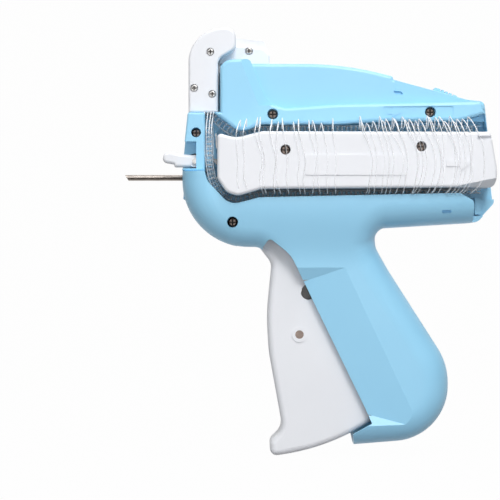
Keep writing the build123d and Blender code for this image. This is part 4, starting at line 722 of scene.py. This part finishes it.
def cut_corners(points: Sequence[Vector], reach: float, steps: int) -> list[Vector]:
    """Replace a path's corners with arcs.

    Args:
        points: Corners of the path.
        reach: How far from a corner its arc starts.
        steps: Stations on each arc.

    Returns:
        Stations along the path.
    """
    path = [points[0].copy()]
    for before, corner, after in zip(points, points[1:], points[2:]):
        back, ahead = before - corner, after - corner
        start = corner + back.normalized() * min(reach, back.length * CORNER_SHARE)
        stop = corner + ahead.normalized() * min(reach, ahead.length * CORNER_SHARE)
        for step in range(steps + 1):
            share = step / steps
            path.append(start.lerp(corner, share).lerp(corner.lerp(stop, share), share))
    path.append(points[-1].copy())
    return path


class Route:
    """Path with a length, on which things are placed."""

    def __init__(self, points: Sequence[Vector]) -> None:
        """Measure the path.

        Args:
            points: Stations along it.
        """
        self.points = list(points)
        self.marks = [0.0]
        for first, second in zip(self.points, self.points[1:]):
            self.marks.append(self.marks[-1] + (second - first).length)

    @property
    def length(self) -> float:
        """Length of the path.

        Returns:
            The length in metres.
        """
        return self.marks[-1]

    def at(self, distance: float) -> tuple[Vector, Vector]:
        """Point and direction on the path.

        Args:
            distance: Distance from its start.

        Returns:
            The point and the unit direction.
        """
        index = 0
        while index < len(self.marks) - 2 and self.marks[index + 1] < distance:
            index += 1
        first, second = self.points[index], self.points[index + 1]
        stretch = max(self.marks[index + 1] - self.marks[index], TINY)
        share = (distance - self.marks[index]) / stretch
        return first.lerp(second, min(max(share, 0.0), 1.0)), (second - first).normalized()


def add_mesh(mesh: bmesh.types.BMesh, part: bmesh.types.BMesh) -> None:
    """Join a part to a mesh.

    Args:
        mesh: The mesh that grows.
        part: The part, which is freed.
    """
    data = bpy.data.meshes.new("part")
    part.to_mesh(data)
    part.free()
    mesh.from_mesh(data)
    bpy.data.meshes.remove(data)


def add_tube(
    whole: bmesh.types.BMesh, path: Sequence[Vector], radii: Sequence[float], sides: int = 8
) -> None:
    """Add a closed round tube along a path.

    Args:
        whole: The mesh that it joins.
        path: Stations of the tube's middle line.
        radii: Radius at each station.
        sides: Sides of the tube.
    """
    mesh = bmesh.new()
    normal = (path[1] - path[0]).orthogonal().normalized()
    last: list[bmesh.types.BMEdge] = []
    for index, (centre, radius) in enumerate(zip(path, radii)):
        ahead = (path[min(index + 1, len(path) - 1)] - path[max(index - 1, 0)]).normalized()
        normal = (normal - ahead * normal.dot(ahead)).normalized()
        turn = Matrix((normal, ahead.cross(normal), ahead)).transposed().to_4x4()
        cap = index in (0, len(path) - 1)
        spot = Matrix.Translation(centre) @ turn
        made = bmesh.ops.create_circle(
            mesh, cap_ends=cap, segments=sides, radius=radius, matrix=spot
        )
        ring = list({edge for vert in made["verts"] for edge in vert.link_edges})
        if last:
            bmesh.ops.bridge_loops(mesh, edges=last + ring)
        last = ring
    bmesh.ops.recalc_face_normals(mesh, faces=mesh.faces)
    add_mesh(whole, mesh)


def add_rounded_rod(
    mesh: bmesh.types.BMesh, start: Vector, stop: Vector, radius: float, sides: int = 10
) -> None:
    """Add a short rod with rounded ends.

    Args:
        mesh: The bmesh.
        start: One end.
        stop: The other end.
        radius: Radius of the rod.
        sides: Sides of the rod.
    """
    way = (stop - start).normalized()
    half = radius * ROD_ROUND
    path = [start, start + way * half, stop - way * half, stop]
    tip = radius * ROD_TIP
    add_tube(mesh, path, [tip, radius, radius, tip], sides)


class CadDress:
    """Finish of the CAD nodes, whose shapes stay as they are, with painted shade in the screws'
    cross recesses.
    """

    screw_reach = 3.7 * MM  # faces nearer than this to a screw's first face belong to it
    rim_share = 0.9         # vertices past this share of a head's radius lie on its rim
    recess_share = 0.7      # faces within this share of the radius may be in the recess
    skin = 0.02 * MM        # faces nearer than this to a head's front are not in it
    recess_depth = 0.72     # depth that the recess stays within, as a share of the radius

    def __init__(self, frame: dict[str, Any], paints: Paints) -> None:
        """Keep the frame and the paints.

        Args:
            paints: The materials.
        """
        self.nodes = frame["nodes"]
        rows = frame["record"]["subparts"]
        self.slots = {row["node"]: Slot(row["material_slot"]) for row in rows}
        self.paints = paints

    def build(self) -> None:
        """Dress every CAD node by its slot."""
        for name, piece in self.nodes.items():
            self.paints.dress(piece, self.slots[name])
            if name in self.paints.by_node:
                piece.data.materials[0] = self.paints.by_node[name]
            # The cross recesses of the screws get painted shade, a near-black material.
            if name.endswith(("_screw", "_screws")):
                self.paint_recess_shade(piece)
            LOG.info("dressed %s", name)

    def paint_recess_shade(self, piece: bpy.types.Object) -> None:
        """Paint shade into the cross recess of each screw head: a near-black material stands in
        for the shade there.

        Args:
            piece: One or more screws, whose shanks run along Y.
        """
        piece.data.materials.append(self.paints.recess)
        mesh = bmesh.new()
        mesh.from_mesh(piece.data)
        screws: list[list[bmesh.types.BMFace]] = []
        for face in mesh.faces:
            centre = face.calc_center_median()
            for screw in screws:
                first = screw[0].calc_center_median()
                if math.hypot(centre.x - first.x, centre.z - first.z) < self.screw_reach:
                    screw.append(face)
                    break
            else:
                screws.append([face])
        for screw in screws:
            for face in self.recess_faces(screw):
                face.material_index = 1
        mesh.to_mesh(piece.data)
        mesh.free()

    def recess_faces(self, screw: Sequence[bmesh.types.BMFace]) -> list[bmesh.types.BMFace]:
        """Faces inside the cross recess of one screw.

        Args:
            screw: Faces of the screw, whose shank runs along Y.

        Returns:
            The recess faces.
        """
        spots = {vert for face in screw for vert in face.verts}
        low = [min(vert.co[axis] for vert in spots) for axis in range(3)]
        high = [max(vert.co[axis] for vert in spots) for axis in range(3)]
        middle = ((low[0] + high[0]) / 2, (low[2] + high[2]) / 2)
        radius = (high[0] - low[0]) / 2

        def away(spot: Vector) -> float:
            """Distance of a place from the screw's middle line."""
            return math.hypot(spot.x - middle[0], spot.z - middle[1])

        rim = [vert.co.y for vert in spots if away(vert.co) > radius * self.rim_share]
        front = low[1] if sum(rim) / len(rim) < (low[1] + high[1]) / 2 else high[1]
        inside = []
        for face in screw:
            centre = face.calc_center_median()
            depth = abs(centre.y - front)
            deep = self.skin < depth < radius * self.recess_depth
            if deep and away(centre) < radius * self.recess_share:
                inside.append(face)
        return inside


# ---------------------------------------------------------------------- fasteners
@dataclass(frozen=True)
class FastenerStrip:
    """Two runners of one fastener strip with its T-bars, in the place of a CAD band."""

    name: str
    replaces: str
    corners: tuple[tuple[float, float], ...]
    lowest: float
    depth: float = -3.1 * MM
    pitch: float = 1.75 * MM
    bar_half: float = 1.35 * MM
    bar_radius: float = 0.42 * MM
    runner_radius: float = 0.34 * MM
    thick_side: float = 1.0
    thick_share: float = 1.25
    thin_share: float = 0.8
    overhang: float = 1.08
    corner_reach: float = 5.0 * MM
    corner_steps: int = 8
    rear_x: float = 110 * MM

    def route(self) -> Route:
        """Middle line of the strip.

        Returns:
            The path, from the rear to the top of the guide.
        """
        points = [Vector((x * MM, self.depth, z * MM)) for x, z in self.corners]
        return Route(cut_corners(points, self.corner_reach, self.corner_steps))

    def build(self, paints: Paints) -> bpy.types.Object:
        """Make the strip.

        Args:
            paints: The materials.

        Returns:
            The strip.
        """
        route = self.route()
        mesh = bmesh.new()
        across = Vector((0, 1, 0))
        sides: dict[float, list[Vector]] = {-1.0: [], 1.0: []}
        count = int(route.length / self.pitch)
        for index in range(count + 1):
            centre, ahead = route.at(index * self.pitch)
            square = ahead.cross(across).normalized()
            half = self.bar_half * self.narrowing(centre)
            for side, line in sides.items():
                line.append(centre + square * side * half)
            if 0 < index < count:
                bar = square * half * self.overhang
                add_rounded_rod(mesh, centre - bar, centre + bar, self.bar_radius)
        for side, line in sides.items():
            share = self.thick_share if side == self.thick_side else self.thin_share
            add_tube(mesh, line, [self.runner_radius * share] * len(line))
        piece = finish_mesh(self.name, mesh)
        paints.dress(piece, Slot.CLEAR)
        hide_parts(self.replaces)
        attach(piece, "root")
        return piece

    def narrowing(self, centre: Vector) -> float:
        """Share of the full width, which falls to the share `lowest` at the rear.

        Args:
            centre: Place on the strip.

        Returns:
            The share.
        """
        return 1.0 - (1.0 - self.lowest) * min(max(centre.x / self.rear_x, 0.0), 1.0)


@dataclass(frozen=True)
class Filaments:
    """Filaments over the side block and in the upright channel, between the two strips.

    The leans and the bow are in mm and hold at the block's front, middle and rear.
    """

    front_count: int = 13
    front_x: tuple[float, float] = (21.0 * MM, 56.0 * MM)
    rear_count: int = 24
    rear_x: tuple[float, float] = (66.0 * MM, 108.0 * MM)
    jitter: float = 0.45
    radius: float = 0.18 * MM
    radius_spread: tuple[float, float] = (0.85, 1.15)
    sides: int = 7
    strip_y: float = -4.6 * MM
    face_y: float = -22.3 * MM
    face_spread: float = 0.25 * MM
    under_z: float = -6.3 * MM
    crown_z: float = 19.2 * MM
    rise: tuple[float, float, float] = (0.4, 4.0, 1.6)
    over_lean: tuple[float, float, float] = (-1.6, 1.6, 3.6)
    bow: tuple[float, float, float] = (0.8, 2.2, 1.0)
    under_lean: tuple[float, float, float] = (2.0, 0.6, -3.8)
    lean_spread: float = 0.5
    bow_spread: float = 0.8
    block_steps: int = 5
    channel_x: float = 10.4 * MM
    channel_shifts: tuple[float, ...] = (-1.9, -0.6, 0.7, 1.8)
    channel_steps: int = 6
    seed: int = 7

    def places(self, dice: random.Random) -> list[float]:
        """Places along the block, in a loose front group and a dense rear group.

        Args:
            dice: Random source.

        Returns:
            The X of each filament's ends.
        """
        places = []
        groups = ((self.front_count, self.front_x), (self.rear_count, self.rear_x))
        for count, (low, high) in groups:
            step = (high - low) / (count - 1)
            for index in range(count):
                places.append(low + step * (index + dice.uniform(-self.jitter, self.jitter)))
        return places

    @staticmethod
    def along(share: float, values: tuple[float, float, float]) -> float:
        """Value that changes along the block.

        Args:
            share: Place along the block, 0 at its front.
            values: The values at its front, middle and rear.

        Returns:
            The value at that place.
        """
        low, middle, high = values
        if share < 0.5:
            return low + (middle - low) * share * 2
        return middle + (high - middle) * (share - 0.5) * 2

    def path(self, x: float, dice: random.Random) -> list[Vector]:
        """Middle line of one filament.

        Args:
            x: Where its ends are.
            dice: Random source.

        Returns:
            Stations along the filament.
        """
        share = (x - self.front_x[0]) / (self.rear_x[1] - self.front_x[0])
        over = (self.along(share, self.over_lean) + dice.gauss(0.0, self.lean_spread)) * MM
        bow = (self.along(share, self.bow) + dice.gauss(0.0, self.bow_spread)) * MM
        under = (self.along(share, self.under_lean) + dice.gauss(0.0, self.lean_spread)) * MM
        top = self.crown_z + dice.triangular(*self.rise) * MM
        face = self.face_y - dice.uniform(0.0, self.face_spread)
        start = x - over * 0.5
        front = start + over
        points = [
            (start, self.strip_y, 18.15 * MM),
            (start, -12.6 * MM, 18.6 * MM),
            (start, -14.4 * MM, top - 0.3 * MM),
            (start, -17.2 * MM, top),
            (start + over * 0.35, -20.6 * MM, (top + 17.0 * MM) / 2),
            (start + over * 0.75, face - 0.2 * MM, 15.6 * MM),
            (front + bow * 0.5, face, 11.4 * MM),
            (front + bow, face, 5.5 * MM),
            (front + bow * 0.7, face, -0.2 * MM),
            (front + bow * 0.5 + under * 0.5, self.face_y, -4.2 * MM),
            (front + bow * 0.4 + under, -18.0 * MM, self.under_z),
            (front + bow * 0.3 + under, -11.0 * MM, self.under_z),
            (front + bow * 0.3 + under, self.strip_y, -5.6 * MM),
        ]
        return smooth_path([Vector(point) for point in points], self.block_steps)

    def channel_path(self, shift: float) -> list[Vector]:
        """Middle line of a filament in the upright channel.

        Args:
            shift: Sideways place in the channel.

        Returns:
            Stations along the filament.
        """
        x = self.channel_x
        points = [
            (x + shift, self.strip_y, 27.0 * MM),
            (x + shift * 0.9 - 0.6 * MM, -9.0 * MM, 24.0 * MM),
            (x + shift * 0.8 - 1.2 * MM, -11.6 * MM, 17.0 * MM),
            (x + shift * 0.7 - 0.8 * MM, -12.4 * MM, 8.0 * MM),
            (x + shift * 0.7 + 0.6 * MM, -12.4 * MM, 0.0 * MM),
            (x + shift * 0.8 + 3.2 * MM, -11.6 * MM, -6.0 * MM),
            (x + shift + 5.4 * MM, -6.0 * MM, -7.4 * MM),
        ]
        return smooth_path([Vector(point) for point in points], self.channel_steps)

    def build(self, paints: Paints) -> bpy.types.Object:
        """Make the filaments.

        Args:
            paints: The materials.

        Returns:
            The filaments.
        """
        dice = random.Random(self.seed)
        mesh = bmesh.new()
        for x in self.places(dice):
            path = self.path(x, dice)
            thick = self.radius * dice.uniform(*self.radius_spread)
            add_tube(mesh, path, [thick] * len(path), self.sides)
        for shift in self.channel_shifts:
            path = self.channel_path(shift * MM)
            add_tube(mesh, path, [self.radius] * len(path), self.sides)
        piece = finish_mesh("filaments", mesh)
        piece.data.materials.append(paints.filament)
        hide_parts("fastener_filaments")
        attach(piece, "root")
        return piece


STRIPS = (
    FastenerStrip(
        "upper_fastener_strip",
        "upper_strip",
        ((112.4, 18.15), (30.0, 18.15), (20.6, 15.35), (11.4, 22.4), (8.9, 30.0), (8.9, 44.0)),
        lowest=1.0,
    ),
    FastenerStrip(
        "lower_fastener_strip",
        "lower_strip",
        (
            (112.4, -5.15), (29.0, -6.3), (19.6, -8.8), (11.6, -3.2),
            (9.8, 3.0), (9.8, 21.0), (6.7, 30.0), (6.7, 43.0),
        ),
        lowest=0.45,
        thick_side=-1.0,
    ),
)


def main() -> None:
    """Build the scene in order."""
    logging.basicConfig(level=logging.INFO, format="%(name)s %(message)s")
    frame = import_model()
    Studio().build()
    paints = Paints()
    CadDress(frame, paints).build()
    for strip in STRIPS:
        strip.build(paints)
        LOG.info("built %s", strip.name)
    Filaments().build(paints)
    LOG.info("built filaments")


if __name__ == "__main__":
    main()
